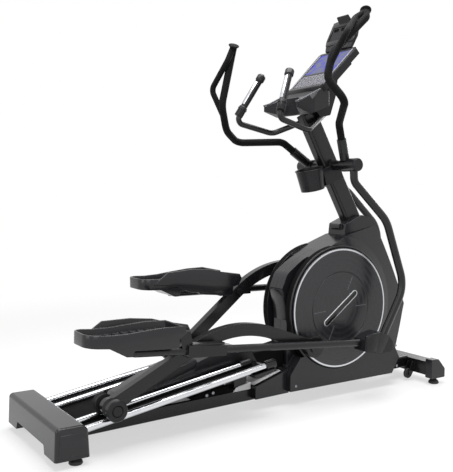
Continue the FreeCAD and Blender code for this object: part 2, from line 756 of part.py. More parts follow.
def make_rail_arm(side):
    """Arched box arm from the roller axle to the crank pin."""
    sign = SIDES[side]
    middle = sign * (size.arm_inner + size.arm_width / 2)
    rear = math.radians(size.arm_rear_angle)
    front = math.radians(size.arm_front_angle)
    apex_x = size.arm_length * math.tan(front) / (math.tan(rear) + math.tan(front))
    apex_z = apex_x * math.tan(rear)
    half = size.arm_depth / 2
    turn = (rear + front) / 2
    lift = half / math.cos(turn)
    lean = (rear - front) / 2
    up = (apex_x - lift * math.sin(lean), apex_z + lift * math.cos(lean))
    down = (apex_x + lift * math.sin(lean), apex_z - lift * math.cos(lean))
    heel = (half * math.sin(rear), half * math.cos(rear))
    toe = (half * math.sin(front), half * math.cos(front))
    corners = [(heel[0], -heel[1]), (down[0], down[1], size.arm_bow - half),
               (size.arm_length - toe[0], -toe[1]), (size.arm_length + toe[0], toe[1]),
               (up[0], up[1], size.arm_bow + half), (-heel[0], heel[1])]
    beam = padded(corners, "arm_width", place(0, middle, 0))
    heel_boss = cross_bar("arm_heel", sign * size.arm_inner, sign * (size.arm_inner + size.arm_width), 0, 0)
    toe_boss = cross_bar("arm_boss", sign * size.arm_inner, sign * (size.arm_inner + size.arm_width),
                         size.arm_length, 0)
    pin = cross_bar("16", sign * (size.disc_face + 0.5), sign * size.arm_inner, size.arm_length, 0)
    pin_cap = cross_bar("26", sign * (size.arm_inner + size.arm_width),
                        sign * (size.arm_inner + size.arm_width + 7), size.arm_length, 0)
    axle_bore = cross_bar("axle_radius+fit_gap", sign * 100, sign * 230, 0, 0)
    pivot_bore = cross_bar("axle_radius+fit_gap", sign * 100, sign * 230,
                           size.pedal_pivot_along, size.pedal_pivot_up)
    whole = without(joined(beam, heel_boss, toe_boss, pin, pin_cap), axle_bore, pivot_bore)
    return moved(whole, arm_place(side))


def make_link(side):
    """Pedal arm: tube with a tapered tail, the sleeve over its pivot pin and the pedal bracket."""
    sign = SIDES[side]
    y = sign * size.link_place
    tail = -318
    front = size.link_length - 104
    bar = tube([vector(tail + 40, y, 0), vector(front, y, 0)], [], "link_radius")
    taper = doc.addObject("Part::Cone", "tail")
    taper.Radius1 = size.link_radius - 5
    taper.Radius2 = size.link_radius
    taper.Height = 40
    taper.Placement = place(tail, y, 0, FreeCAD.Rotation(UP, vector(1, 0, 0)))
    sleeve = padded([(-72, -23, 4), (97, -20, 4), (97, 20, 6), (-72, 23, 6)], "sleeve_width",
                    place(0, y, 0))
    plate = padded([(-58, -size.sleeve_width / 2 + 2, 4), (97, -18, 17.9), (97, 18, 17.9),
                    (-58, size.sleeve_width / 2 - 2, 4)], 6, place(0, y, 25), "XY_Plane")
    bracket = padded([(-88, -10, 4), (-50, -10), (-50, 30, 4), (-64, 76), (-110, 76)], 26, place(0, y, 0))
    pin_from = size.arm_inner - 3
    pin_to = size.link_place - size.sleeve_width / 2
    arm_outer = size.arm_inner + size.arm_width
    pin = turned([(0, sign * (pin_from - 5)), (15, sign * (pin_from - 5)),
                  (15, sign * (size.arm_inner - 0.5)),
                  (size.axle_radius, sign * (size.arm_inner - 0.5)),
                  (size.axle_radius, sign * (arm_outer + 0.5)),
                  (17, sign * (arm_outer + 0.5)), (17, sign * (pin_to + 6)), (0, sign * (pin_to + 6))],
                 place(0, 0, 0))
    return moved(joined(bar, taper, sleeve, plate, bracket, pin), link_place(side))


def pedal_frame(side):
    return link_place(side).multiply(place(0, 0, 0, pitched(size.pedal_pitch)))


def make_pedal(side, link_shape):
    """Foot tray with a high, deep inner wall and a belly that grips the tail of its arm."""
    sign = SIDES[side]
    middle = sign * (size.pedal_inner + size.pedal_width / 2)
    half = size.pedal_width / 2
    toe = -98
    heel = toe - size.pedal_length
    wall = size.pedal_wall
    floor = 84
    side_view = padded([(heel - 6, 92, 12), (heel + 10, 134, 10), (heel + 96, 105, 120),
                        (heel + 190, 111, 200),
                        (toe - 7, 111, 8), (toe + 2, 87, 5), (toe - 26, 76), (toe - 49, 44, 8),
                        (heel + 194, 58),
                        (heel + 188, 16, 6), (heel + 155, 18, 16), (heel + 74, 60, 20),
                        (heel + 38, 68, 20)],
                       "pedal_width+20", place(0, middle, 0))
    plan = padded([(heel - 8, -half, 66), (toe + 4, -half + 10, 16), (toe + 4, half, 10),
                   (heel - 8, half, 66)]
                  if sign > 0 else
                  [(heel - 8, -half, 66), (toe + 4, -half, 10), (toe + 4, half - 10, 16),
                   (heel - 8, half, 66)],
                  "200", place(0, middle, 100), "XY_Plane")
    inner_wall = padded([(heel + 78, 92, 8), (heel + 139, 135, 16), (heel + 268, 132, 40),
                         (toe - 24, 104, 40),
                         (toe + 46, 102, 10), (toe + 56, 76, 8), (toe + 46, -12, 10), (toe - 52, 3, 30),
                         (toe - 127, 22, 20), (toe - 175, 36, 20), (heel + 150, 76, 10)],
                        "9", place(0, sign * (size.pedal_inner + 4.5), 0))
    tray = padded([(heel + wall, -half + wall, 60), (toe - 10, -half + 17, 12), (toe - 10, half - 17, 12),
                   (heel + wall, half - wall, 60)],
                  80, place(0, middle, floor + 40), "XY_Plane")
    hollow = padded([(heel + 200, 40), (toe - 30, 40), (toe - 30, floor - 6), (heel + 200, floor - 6)],
                    "pedal_width-2*pedal_wall", place(0, middle, 0))
    shell = without(joined(shared(side_view, plan), inner_wall), tray, hollow)
    return without(moved(shell, pedal_frame(side)), link_shape)


def make_knuckle(side, link_shape):
    """Hollow cover over the lower end of the swing arm, open at the top."""
    sign = SIDES[side]
    y = sign * size.link_place
    end = size.link_length
    width = size.knuckle_width
    slim = width - 24
    shift = sign * (width - slim) / 4
    body = padded([(end - 127, -33, 8), (end - 127, 20, 8), (end - 88, 40, 10), (end - 42, 52, 4),
                   (end - 34, 42),
                   (end + 20, 36, 6), (end + 52, 2, 10), (end + 50, -41, 10), (end - 17, -47, 6)],
                  slim, place(0, y, 0))
    # a thicker, six-sided panel stands out on the outer side
    panel = padded([(end - 127, -33, 8), (end - 127, 20, 8), (end - 88, 40, 10), (end - 42, 52, 4),
                    (end - 34, 42),
                    (end + 12, 36, 5), (end + 21, 27, 3), (end - 17, -47, 6)],
                   slim + (width - slim) / 2, place(0, y + shift, 0))
    inner = padded([(end - 44, -43, 8), (end + 43, -37, 8), (end + 44, 70), (end - 34, 70)],
                   slim - 2 * size.knuckle_wall, place(0, y, 0))
    whole = without(joined(body, panel), inner)
    return without(moved(whole, link_place(side)), link_shape)


def rest_offset(x, y, z):
    """Offset measured on the right side at rest, turned into the swing arm's own frame."""
    rest = math.radians(POSES["right"].swing_tilt + 90)
    return vector(x * math.cos(rest) + z * math.sin(rest), y, -x * math.sin(rest) + z * math.cos(rest))


def swing_points(y_top, y_low):
    """Centre line of the lower swing arm in the pivot's frame, which hangs down to the pin."""
    # the arm leaves the hub, runs forward and down, then curls back to the pin
    pin = vector(0, y_low, -size.swing_length)
    return [rest_offset(0, y_top, -20), rest_offset(3, y_top, -74),
            rest_offset(175.5, (y_top + y_low) / 2, -247.5),
            pin + rest_offset(144, 0, 238), pin]


def make_swing_arm(side):
    sign = SIDES[side]
    points = swing_points(sign * 168, sign * size.link_place)
    last = points[-1] + (points[-2] - points[-1]).normalize() * 6
    bar = tube(points[:-1] + [last], [50, 150, 150], "swing_half_width", "swing_half_depth")
    hub = cross_bar("hub_radius", sign * size.hub_inner, sign * size.hub_outer, 0, 0)
    bore = cross_bar("pivot_radius+fit_gap", sign * 50, sign * 250, 0, 0)
    return moved(without(joined(bar, hub), bore), swing_place(side))


def handle_points(triples, sign):
    """Points given on the right side at rest, in the swing arm's own frame."""
    return [rest_offset(x - size.pivot_x, sign * y, z - size.pivot_level) for x, y, z in triples]


HANDLE_LOW = [(407, 122, 1062), (350, 145, 1216)]
HANDLE_TOP = [(236, 312, 1292), (184, 258, 1385), (222, 250, 1495), (396, 256, 1652), (414, 234, 1686)]
# the foam starts at this share of the run that leads outwards
HANDLE_SPLIT = tuple(low + 0.55 * (high - low) for low, high in zip(HANDLE_LOW[-1], HANDLE_TOP[0]))
HANDLE_LOOP = [(203, 254, 1438), (245, 303, 1568), (352, 238, 1648), (407, 238, 1681)]


def make_handle(side, swing_shape):
    sign = SIDES[side]
    low = handle_points(HANDLE_LOW + [HANDLE_SPLIT], sign)
    bar = tube(low, [42], "handle_radius")
    axis = (low[1] - low[0]).normalize()
    socket = doc.addObject("Part::Cylinder", "socket")
    socket.Radius = 21
    socket.Height = 92
    socket.Placement = FreeCAD.Placement(low[0] + axis * 4, FreeCAD.Rotation(UP, axis))
    return without(moved(joined(bar, socket), swing_place(side)), swing_shape)


def make_grip(side):
    """Foam over a bent tube, a second foam tube beside it and the flared cap that joins both."""
    sign = SIDES[side]
    top = handle_points([HANDLE_SPLIT] + HANDLE_TOP, sign)
    main = tube(top, [40, 60, 120, 20], "grip_radius")
    loop = tube(handle_points(HANDLE_LOOP, sign), [45, 40], "loop_radius")
    axis = (top[-1] - top[-2]).normalize()
    cap = turned([(0, -4), (19, -4), (24, 1, 2), (24, 5, 2), (0, 7)],
                 FreeCAD.Placement(top[-1], FreeCAD.Rotation(UP, axis)), "XZ_Plane")
    return moved(joined(main, loop, cap), swing_place(side))


def make_hub_cap(side):
    sign = SIDES[side]
    near = size.hub_outer
    return turned([(0, sign * near), (size.hub_radius - 1, sign * near),
                   (size.hub_radius - 1, sign * (near + 6)),
                   (size.hub_radius - 5, sign * (near + 9)), (0, sign * (near + 9))],
                  place(size.pivot_x, 0, size.pivot_level))


def make_pivot_axle():
    """Fixed axle through the mast, with the spacers that keep both swing hubs off the mast."""
    half = size.mast_width / 2
    end = size.hub_outer - 0.5
    near = size.hub_inner - 0.5
    r = size.pivot_radius
    profile = [(0, -end), (r, -end), (r, -near), (size.boss_radius, -near), (size.boss_radius, -half - 14),
               (size.hub_radius, -half - 14), (size.hub_radius, -half), (r, -half), (r, half),
               (size.hub_radius, half),
               (size.hub_radius, half + 14), (size.boss_radius, half + 14), (size.boss_radius, near),
               (r, near),
               (r, end), (0, end)]
    return turned(profile, place(size.pivot_x, 0, size.pivot_level))


# ---------------------------------------------------------------- cockpit

def console_frame():
    return place(size.console_x, 0, size.console_level, pitched(size.console_tilt))


def console_plate(start, end, margin, low, high, bend):
    """Plate parallel to the console face, between two heights along its slope."""
    grow = (size.console_half_top - size.console_half_low) / size.console_height
    half_low = size.console_half_low + grow * start - margin
    half_top = size.console_half_low + grow * end - margin
    return padded([(start, -half_low, bend), (end, -half_top, bend), (end, half_top, bend),
                   (start, half_low, bend)],
                  high - low, place(0, 0, (low + high) / 2), "XY_Plane")


def make_console():
    top = size.console_height
    thick = size.console_thick
    shell = console_plate(0, top, 0, -thick, -4, 16)
    bulge = console_plate(40, top - 40, 34, -thick - 22, -thick, 14)
    bezel = console_plate(0, top, 0, -4, 0, 16)
    window = console_plate(110, top - 16, 20, -6, 2, 6)
    keys_cut = console_plate(14, 100, 16, -6, 2, 8)
    screen = console_plate(110, top - 16, 20, -4, -1, 6)
    keys = console_plate(14, 100, 16, -4, -1, 8)
    frame = console_frame()
    return (moved(joined(shell, bulge), frame), moved(without(bezel, window, keys_cut), frame),
            moved(screen, frame), moved(keys, frame))


def console_space(low):
    """All that lies above one depth of the console, wider than the console itself."""
    return moved(console_plate(-80, size.console_height + 80, -60, low, 120, 10), console_frame())


def make_neck(mast_shape, console_shape):
    """Cover between the mast head and the back of the console."""
    body = padded([(330, 1250, 6), (385, 1262, 10), (415, 1347, 20), (428, 1440), (300, 1400), (268, 1345),
                   (290, 1290, 10)], 96, place(0, 0, 0))
    return without(body, mast_shape, console_shape, console_space(-size.console_thick))


def make_tray(neck_shape, console_shape):
    """Ledge below the console whose two ends run to a point."""
    plan = padded([(132, -122, 5), (236, -119, 30), (335, -100, 10), (345, -50, 10), (345, 50, 10),
                   (335, 100, 10),
                   (236, 119, 30), (132, 122, 5), (205, 60, 40), (205, -60, 40)],
                  140, place(0, 0, 1310), "XY_Plane")
    profile = padded([(120, 1285, 4), (215, 1254, 10), (345, 1300), (345, 1352), (285, 1368),
                      (245, 1350, 6),
                      (150, 1302, 4), (120, 1300)], 260, place(0, 0, 0))
    return without(shared(plan, profile), neck_shape, console_shape, console_space(-4))


def make_tablet_holder(console_shape):
    """Back rest for a tablet, with slots, above the console."""
    frame = place(470, 0, 1560, pitched(-20))
    plate = padded([(-85, 0, 6), (85, 0, 6), (100, 60, 20), (84, 150, 24), (-84, 150, 24),
                    (-100, 60, 20)], 12,
                   place(0, 0, 0), "YZ_Plane")
    slots = []
    for y in (-48, 0, 48):
        slots.append(padded([(y - 17, 96, 6), (y + 17, 96, 6), (y + 17, 112, 6), (y - 17, 112, 6)], 30,
                            place(0, 0, 0), "YZ_Plane"))
    clip = padded([(-6, 128), (-34, 150, 4), (-34, 160, 4), (6, 140, 6), (6, 128)], 70, place(0, 0, 0))
    foot = padded([(-34, -16), (20, -24), (20, 30), (6, 40), (-6, 40), (-8, 4)], 120, place(0, 0, 0))
    front = moved(console_plate(-1, size.console_height + 1, -1, -4, 60, 10), console_frame())
    return without(moved(without(joined(plate, clip, foot), *slots), frame), console_shape, front)


BAR = [(370, 30, 1268), (195, 128, 1183), (18, 154, 1226), (66, 135, 1325)]
PULSE = [(42, 146, 1283), (70, 132, 1340), (118, 99, 1432)]


def make_handlebar(neck_shape, mast_shape):
    """Fixed V handlebar: two bent tubes from the mast head to the pulse grips."""
    bars = []
    for sign in SIDES.values():
        points = [vector(x, sign * y, z) for x, y, z in BAR]
        points[0] = points[0] + vector(10, -sign * 20, 0)
        joint = vector(PULSE[0][0], sign * PULSE[0][1], PULSE[0][2])
        bars.append(tube(points[:-1] + [joint], [60, 26], "bar_radius"))
    return without(joined(*bars), mast_shape, neck_shape)


def pulse_axis(sign):
    points = [vector(x, sign * y, z) for x, y, z in PULSE]
    return points[0], points[-1], (points[-1] - points[0]).normalize()


def make_pulse_grips(bars):
    grips = []
    for sign in SIDES.values():
        start, end, axis = pulse_axis(sign)
        turn = FreeCAD.Rotation(UP, axis)
        length = (end - start).Length
        body = turned([(0, 0), (21, 0), (21, 5), (size.pulse_radius, 9), (size.pulse_radius, length - 22),
                       (size.pulse_radius + 3, length - 16), (size.pulse_radius + 3, length - 2),
                       (size.pulse_radius - 4, length + 4), (0, length + 4)],
                      FreeCAD.Placement(start, turn), "XZ_Plane")
        button_hole = cylinder("5.5", "6", FreeCAD.Placement(start + axis * (length + 1), turn))
        grips.append(without(body, button_hole))
    return without(group(*grips), bars)


def make_sensor_plates():
    """One curved metal plate on the user's side of each pulse grip."""
    plates = []
    for sign in SIDES.values():
        start, end, axis = pulse_axis(sign)
        where = FreeCAD.Placement(start, FreeCAD.Rotation(UP, axis))
        length = (end - start).Length
        sleeve = turned([(size.pulse_radius, 22), (size.pulse_radius + 1.4, 24),
                         (size.pulse_radius + 1.4, length - 34), (size.pulse_radius, length - 32)],
                        where, "XZ_Plane")
        front_half = block("40", "60", "140", where.multiply(place(3, -30, 0)))
        plates.append(without(sleeve, front_half))
    return group(*plates)


def make_thumb_button(side):
    start, end, axis = pulse_axis(SIDES[side])
    turn = FreeCAD.Rotation(UP, axis)
    length = (end - start).Length
    return cylinder("5.2", "4.5",
                    FreeCAD.Placement(start + axis * (length + 2.5 + size.button_travel / 2), turn))


def make_cup(mast_shape, axle_shape):
    """Open bottle holder on the rear of the mast."""
    tilt = 13.6
    top = size.cup_height
    wall = size.cup_wall
    rim = size.cup_radius
    foot = size.cup_foot
    cup = turned([(0, 0), (foot, 0), (rim, top), (rim + 3, top), (rim + 3, top + 4), (rim - wall, top + 4),
                  (foot - wall, wall), (0, wall)],
                 place(328, 0, 930, pitched(tilt)), "XZ_Plane")
    ear = padded([(372, 950), (474, 985, 8), (440, 1056, 8), (350, 1020)], 84, place(0, 0, 0))
    hollow = turned([(0, wall), (foot - wall, wall), (rim - wall, top + 4), (rim - wall, top + 60),
                     (0, top + 60)],
                    place(328, 0, 930, pitched(tilt)), "XZ_Plane")
    return without(joined(cup, without(ear, hollow)), mast_shape, axle_shape)


def make_wheel(side):
    r = size.wheel_radius
    half = size.wheel_half
    bore = size.wheel_pin + size.fit_gap
    return turned([(bore, -half), (r - 9, -half), (r - 9, 3 - half), (r - 3, 3 - half), (r, 6 - half),
                   (r, half - 6),
                   (r - 3, half - 3), (r - 9, half - 3), (r - 9, half), (bore, half)],
                  place(size.front_tube_rear - size.wheel_setback, SIDES[side] * size.wheel_reach,
                        size.wheel_level))


# ---------------------------------------------------------------- assembly

foot_places = [(size.rear_tube_place + 4, size.rear_foot_reach),
               (size.front_tube_rear + 33, size.front_foot_reach)]
rear_tube = node(make_rear_tube(), "rear_stabilizer")
front_tube = node(make_front_tube(), "front_stabilizer")
beam = node(without(make_beam(), rear_tube, front_tube), "main_beam")
node(make_front_caps(), "front_stabilizer_caps")
rails = {}
for side, sign in SIDES.items():
    inner = rail_bar(sign * size.rail_inner, size.rail_inner_front)
    outer = rail_bar(sign * size.rail_outer, size.rail_outer_front)
    rails[side] = node(group(inner, outer), "rails_" + side)
node(make_rear_cover(rear_tube, beam, rails.values()), "rear_foot_cover")
bridge = node(make_bridge(rails.values(), beam), "rail_bridge")
node(make_guard(), "rail_guard")
foot_top = size.tube_level + size.stem_hold - 1
for side, sign in SIDES.items():
    node(make_foot(foot_places[0][0], sign * foot_places[0][1], foot_top), "rear_foot_" + side)
    node(make_foot(foot_places[1][0], sign * foot_places[1][1], foot_top - size.cap_overlap),
         "front_foot_" + side)

pivot_axle = make_pivot_axle()
mast = node(without(make_mast(), pivot_axle), "mast")
node(pivot_axle, "pivot_axle")
cover = padded([(-35, 46, 4), (-35, 100), (155, 157), (141, 50)], 144, place(0, 0, 0))
solid_mast = make_mast()
housings = {side: make_housing(side, [beam, solid_mast]) for side in SIDES}
node(housings["right"], "housing_right")
node(housings["left"], "housing_left")
node(without(cover, beam, housings["right"], housings["left"], bridge), "beam_cover")
node(make_collar(solid_mast), "mast_collar")

node(cross_bar("crank_axle_radius", -size.disc_face + size.disc_thick, size.disc_face - size.disc_thick,
               size.crank_x, size.crank_level), "crank_axle")
for side in SIDES:
    node(make_disc(side), "crank_disc_" + side)
    node(make_ring(side), "disc_ring_" + side)
    node(make_roller_axle(side), "roller_axle_" + side)
    node(make_rollers(side), "rail_rollers_" + side)
    node(make_rail_arm(side), "rail_arm_" + side)
    link = node(make_link(side), "pedal_arm_" + side)
    node(make_pedal(side, link), "pedal_" + side)
    node(make_knuckle(side, link), "knuckle_cover_" + side)
    swing = node(make_swing_arm(side), "swing_arm_" + side)
    node(make_handle(side, swing), "handle_" + side)
    node(make_grip(side), "handle_grip_" + side)
    node(make_hub_cap(side), "hub_cap_" + side)
    node(make_thumb_button(side), "thumb_button_" + side)
    node(make_wheel(side), "transport_wheel_" + side)

console, bezel, screen, keys = make_console()
node(console, "console_shell")
node(bezel, "console_bezel")
node(screen, "console_screen")
node(keys, "key_panel")
neck = node(make_neck(mast, console), "console_neck")
node(make_tray(neck, console), "console_tray")
node(make_tablet_holder(console), "tablet_holder")
bars = node(make_handlebar(neck, mast), "handlebar")
node(make_pulse_grips(bars), "pulse_grips")
node(make_sensor_plates(), "pulse_sensors")
node(make_cup(mast, pivot_axle), "bottle_holder")

# ---------------------------------------------------------------- checks and export

doc.recompute()
faults = []
for thing in doc.Objects:
    if "Invalid" in thing.State or "Error" in thing.State:
        faults.append(f"{thing.Label}: {thing.State}")
for thing in nodes:
    if thing.Shape.isNull() or not thing.Shape.isValid():
        faults.append(f"{thing.Label}: bad shape")
    elif not thing.Shape.Solids:
        faults.append(f"{thing.Label}: no solid")
if faults:
    raise RuntimeError("; ".join(faults))

os.makedirs("parts", exist_ok=True)
for thing in nodes:
    thing.Shape.exportStep(os.path.join("parts", thing.Label + ".step"))
    box = thing.Shape.BoundBox
    print(f"{thing.Label}: {len(thing.Shape.Solids)} solid, {thing.Shape.Volume / 1000:.1f} cm3,"
          f" X {box.XMin:.0f}..{box.XMax:.0f}, Y {box.YMin:.0f}..{box.YMax:.0f}, Z {box.ZMin:.0f}..{box.ZMax:.0f}")
print(len(nodes), "nodes")
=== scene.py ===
import math

import bmesh
import bpy
from mathutils import Euler, Matrix, Vector

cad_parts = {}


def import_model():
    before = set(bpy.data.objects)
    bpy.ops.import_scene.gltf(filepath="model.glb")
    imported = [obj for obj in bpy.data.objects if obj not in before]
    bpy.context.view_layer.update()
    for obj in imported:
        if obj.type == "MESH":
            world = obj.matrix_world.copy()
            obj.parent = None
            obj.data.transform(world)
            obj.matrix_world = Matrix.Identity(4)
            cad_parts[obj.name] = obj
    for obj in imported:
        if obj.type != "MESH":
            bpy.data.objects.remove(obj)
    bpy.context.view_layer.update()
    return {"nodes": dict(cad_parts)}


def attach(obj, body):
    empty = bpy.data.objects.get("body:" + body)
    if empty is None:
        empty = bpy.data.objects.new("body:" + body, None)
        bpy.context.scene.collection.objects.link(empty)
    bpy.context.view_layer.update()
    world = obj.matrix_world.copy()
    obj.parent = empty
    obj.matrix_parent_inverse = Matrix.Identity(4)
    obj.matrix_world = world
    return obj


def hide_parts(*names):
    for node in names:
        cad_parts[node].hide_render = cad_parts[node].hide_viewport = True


# Elliptical trainer: the finish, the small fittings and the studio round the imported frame.

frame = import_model()
nodes = frame["nodes"]
SIDES = ("right", "left")
SIGN = {"right": -1, "left": 1}


def mm(value):
    return value / 1000


def linear(hex_colour):
    """A colour written as sRGB hex, as the renderer wants it."""
    parts = [int(hex_colour[i : i + 2], 16) / 255 for i in (1, 3, 5)]
    light = [p / 12.92 if p <= 0.04045 else ((p + 0.055) / 1.055) ** 2.4 for p in parts]
    return (*light, 1)


# ---------------------------------------------------------------- finishes


def add(tree, kind, inputs=None, **settings):
    """Adds a node, sets its fields, and sets or links its sockets."""
    node = tree.nodes.new("ShaderNode" + kind)
    for field, value in settings.items():
        setattr(node, field, value)
    for name, value in (inputs or {}).items():
        socket = node.inputs[name]
        if isinstance(value, bpy.types.NodeSocket):
            tree.links.new(value, socket)
        else:
            socket.default_value = value
    return node


def finish(name, colour, roughness, **sockets):
    """A new material with its shader. Sockets are given with underscores for spaces."""
    material = bpy.data.materials.new(name)
    material.use_nodes = True
    tree = material.node_tree
    tree.nodes.clear()
    values = {key.replace("_", " "): value for key, value in sockets.items()}
    values.update({"Base Color": linear(colour), "Roughness": roughness})
    shader = add(tree, "BsdfPrincipled", values)
    add(tree, "OutputMaterial", {"Surface": shader.outputs["BSDF"]})
    return material, tree, shader


def grain(tree, size, detail=3.0, stretch=(1, 1, 1), roughness=0.5):
    """Cloudy pattern whose blotches are about size metres across."""
    place = add(tree, "TexCoord").outputs["Object"]
    place = add(tree, "Mapping", {"Vector": place, "Scale": stretch}).outputs["Vector"]
    values = {"Vector": place, "Scale": 1 / size, "Detail": detail, "Roughness": roughness}
    return add(tree, "TexNoise", values).outputs["Fac"]


def shade(tree, shader, value, dark, pale):
    """Colour that wanders between two tones with a pattern."""
    # the colour sockets of this node share their names with others, so they go by number
    factor, first, second, result = 0, 6, 7, 2
    tones = {factor: value, first: linear(dark), second: linear(pale)}
    mix = add(tree, "Mix", tones, data_type="RGBA")
    tree.links.new(mix.outputs[result], shader.inputs["Base Color"])


def polish(tree, shader, value, low, high):
    """Roughness that wanders between two values with a pattern."""
    spread = add(tree, "MapRange", {"Value": value, "To Min": low, "To Max": high})
    tree.links.new(spread.outputs["Result"], shader.inputs["Roughness"])


def relief(tree, shader, value, height, edge):
    """Bump of a real height in metres, over edges rounded to a real radius."""
    soft = add(tree, "Bevel", {"Radius": edge}, samples=6).outputs["Normal"]
    values = {"Height": value, "Distance": height, "Strength": 1.0, "Normal": soft}
    bump = add(tree, "Bump", values)
    tree.links.new(bump.outputs["Normal"], shader.inputs["Normal"])


def powder_coat():
    # Steel under charcoal powder coat: satin, with a fine orange peel that breaks up
    # highlights. The peel is 1 mm on the real tube and drawn at 3 mm so that it shows.
    material, tree, shader = finish("charcoal_powder_coat", "#19191b", 0.4, Coat_Weight=0.06)
    shader.inputs["Coat Roughness"].default_value = 0.3
    shader.inputs["Specular IOR Level"].default_value = 0.35
    peel = grain(tree, mm(3), 2)
    cloud = grain(tree, mm(60), 4)
    shade(tree, shader, cloud, "#101012", "#19191b")
    polish(tree, shader, cloud, 0.2, 0.3)
    relief(tree, shader, peel, mm(0.05), mm(1.5))
    return material


def moulded_abs():
    # Moulded ABS housing in dark grey: matt spark texture with a soft, wide sheen.
    # The texture is 0.3 mm on the real cover and drawn at 2 mm.
    material, tree, shader = finish("moulded_grey_abs", "#202023", 0.42, Specular_IOR_Level=0.4)
    spark = grain(tree, mm(2), 3)
    cloud = grain(tree, mm(90), 3)
    shade(tree, shader, cloud, "#1c1c1f", "#232326")
    polish(tree, shader, spark, 0.16, 0.27)
    relief(tree, shader, spark, mm(0.04), mm(3))
    return material


def moulded_pp():
    # Moulded black polypropylene of covers and pedals: fine leathery grain, semi-matt.
    # The grain is 0.5 mm on the real cover and drawn at 2.5 mm.
    material, tree, shader = finish("moulded_black_pp", "#1a1a1c", 0.42, Specular_IOR_Level=0.25)
    leather = grain(tree, mm(2.5), 4, roughness=0.6)
    cloud = grain(tree, mm(70), 3)
    shade(tree, shader, cloud, "#19191b", "#222225")
    polish(tree, shader, leather, 0.22, 0.34)
    relief(tree, shader, leather, mm(0.06), mm(2))
    return material


def disc_plastic():
    # Spun-look ABS crank cover: faint rings from the mould's turning, satin.
    # The turning lines are 0.4 mm apart on the real cover and drawn 25 mm apart, so that
    # they show. One period of the wave is 2 pi / 20 of its scale.
    material, tree, shader = finish("turned_grey_abs", "#28282b", 0.36, Specular_IOR_Level=0.5)
    place = add(tree, "TexCoord").outputs["Object"]
    centre = {"Vector": place, "Location": (-0.4065, 0, -0.403)}
    place = add(tree, "Mapping", centre).outputs["Vector"]
    turning = add(
        tree,
        "TexWave",
        {"Vector": place, "Scale": 2 * math.pi / 20 / mm(25.13), "Distortion": 0.4, "Detail": 2.0},
        wave_type="RINGS",
        rings_direction="Y",
    ).outputs["Fac"]
    cloud = grain(tree, mm(80), 3)
    shade(tree, shader, cloud, "#202023", "#28282b")
    polish(tree, shader, turning, 0.22, 0.32)
    relief(tree, shader, turning, mm(0.008), mm(2))
    return material


def chrome():
    # Chrome-plated steel rails, polished along their length, with a little track haze
    # where the rollers run.
    material, tree, shader = finish("polished_chrome", "#c4c5c8", 0.08, Metallic=1.0)
    shader.inputs["Specular Tint"].default_value = linear("#5a5b5e")
    drawn = grain(tree, mm(3), 2, stretch=(0.02, 1, 1))
    haze = grain(tree, mm(50), 4)
    shade(tree, shader, haze, "#c6c7ca", "#dedfe2")
    polish(tree, shader, haze, 0.04, 0.16)
    relief(tree, shader, drawn, mm(0.02), mm(1))
    return material


def satin_silver():
    # Satin anodised aluminium trim: fine brushing, bright but not a mirror.
    material, tree, shader = finish("satin_anodised_silver", "#cfd0d3", 0.28, Metallic=1.0)
    brushed = grain(tree, mm(1.5), 3, stretch=(1, 1, 0.1))
    shade(tree, shader, brushed, "#bfc0c4", "#dcdde0")
    polish(tree, shader, brushed, 0.22, 0.36)
    relief(tree, shader, brushed, mm(0.02), mm(1))
    return material


def zinc_steel():
    # Zinc-plated axle steel: grey, softly cloudy, part matt.
    material, tree, shader = finish("zinc_plated_steel", "#8f9194", 0.35, Metallic=1.0)
    cloud = grain(tree, mm(8), 4)
    shade(tree, shader, cloud, "#7c7e82", "#a0a2a6")
    polish(tree, shader, cloud, 0.26, 0.46)
    relief(tree, shader, cloud, mm(0.03), mm(0.6))
    return material


def nitrile_foam():
    # Closed-cell nitrile foam grip: dull deep black with fine pores and next to no sheen.
    # The pores are 0.4 mm on the real sleeve and drawn at 2 mm.
    material, tree, shader = finish(
        "nitrile_foam", "#0d0d0e", 0.7, Sheen_Weight=0.03, Specular_IOR_Level=0.12
    )
    shader.inputs["Sheen Roughness"].default_value = 0.5
    place = add(tree, "TexCoord").outputs["Object"]
    pores = add(tree, "TexVoronoi", {"Vector": place, "Scale": 1 / mm(2)}).outputs["Distance"]
    cloud = grain(tree, mm(25), 3)
    shade(tree, shader, cloud, "#0a0a0b", "#121213")
    polish(tree, shader, pores, 0.92, 0.72)
    relief(tree, shader, pores, mm(0.4), mm(1))
    return material


def moulded_rubber():
    # Moulded rubber of feet and roller tyres: dull black, slightly dusty.
    material, tree, shader = finish("moulded_rubber", "#1b1b1c", 0.6)
    dust = grain(tree, mm(12), 5)
    shade(tree, shader, dust, "#151515", "#242425")
    polish(tree, shader, dust, 0.5, 0.74)
    relief(tree, shader, grain(tree, mm(1.5), 3), mm(0.1), mm(1))
    return material


def display_glass():
    # Backlit display behind a clear window: deep blue glow with paler bands.
    material, tree, shader = finish("display_glass", "#05060a", 0.2, Specular_IOR_Level=0.15)
    glow = grain(tree, mm(30), 2)
    lit = add(tree, "ValToRGB", {"Fac": glow})
    ramp = lit.color_ramp
    ramp.elements[0].position = 0.42
    ramp.elements[0].color = linear("#7d80a0")
    ramp.elements[1].position = 0.62
    ramp.elements[1].color = linear("#4a50e6")
    tree.links.new(lit.outputs["Color"], shader.inputs["Emission Color"])
    shader.inputs["Emission Strength"].default_value = 0.65
    return material


def key_membrane():
    # Printed polyester membrane over the keys: grey, fine dot texture, satin.
    material, tree, shader = finish("key_membrane", "#4a4a4e", 0.5)
    place = add(tree, "TexCoord").outputs["Object"]
    dots = add(tree, "TexVoronoi", {"Vector": place, "Scale": 1 / mm(4)}).outputs["Distance"]
    shade(tree, shader, dots, "#5f5f66", "#45454a")
    polish(tree, shader, dots, 0.4, 0.6)
    relief(tree, shader, dots, mm(0.2), mm(1))
    return material


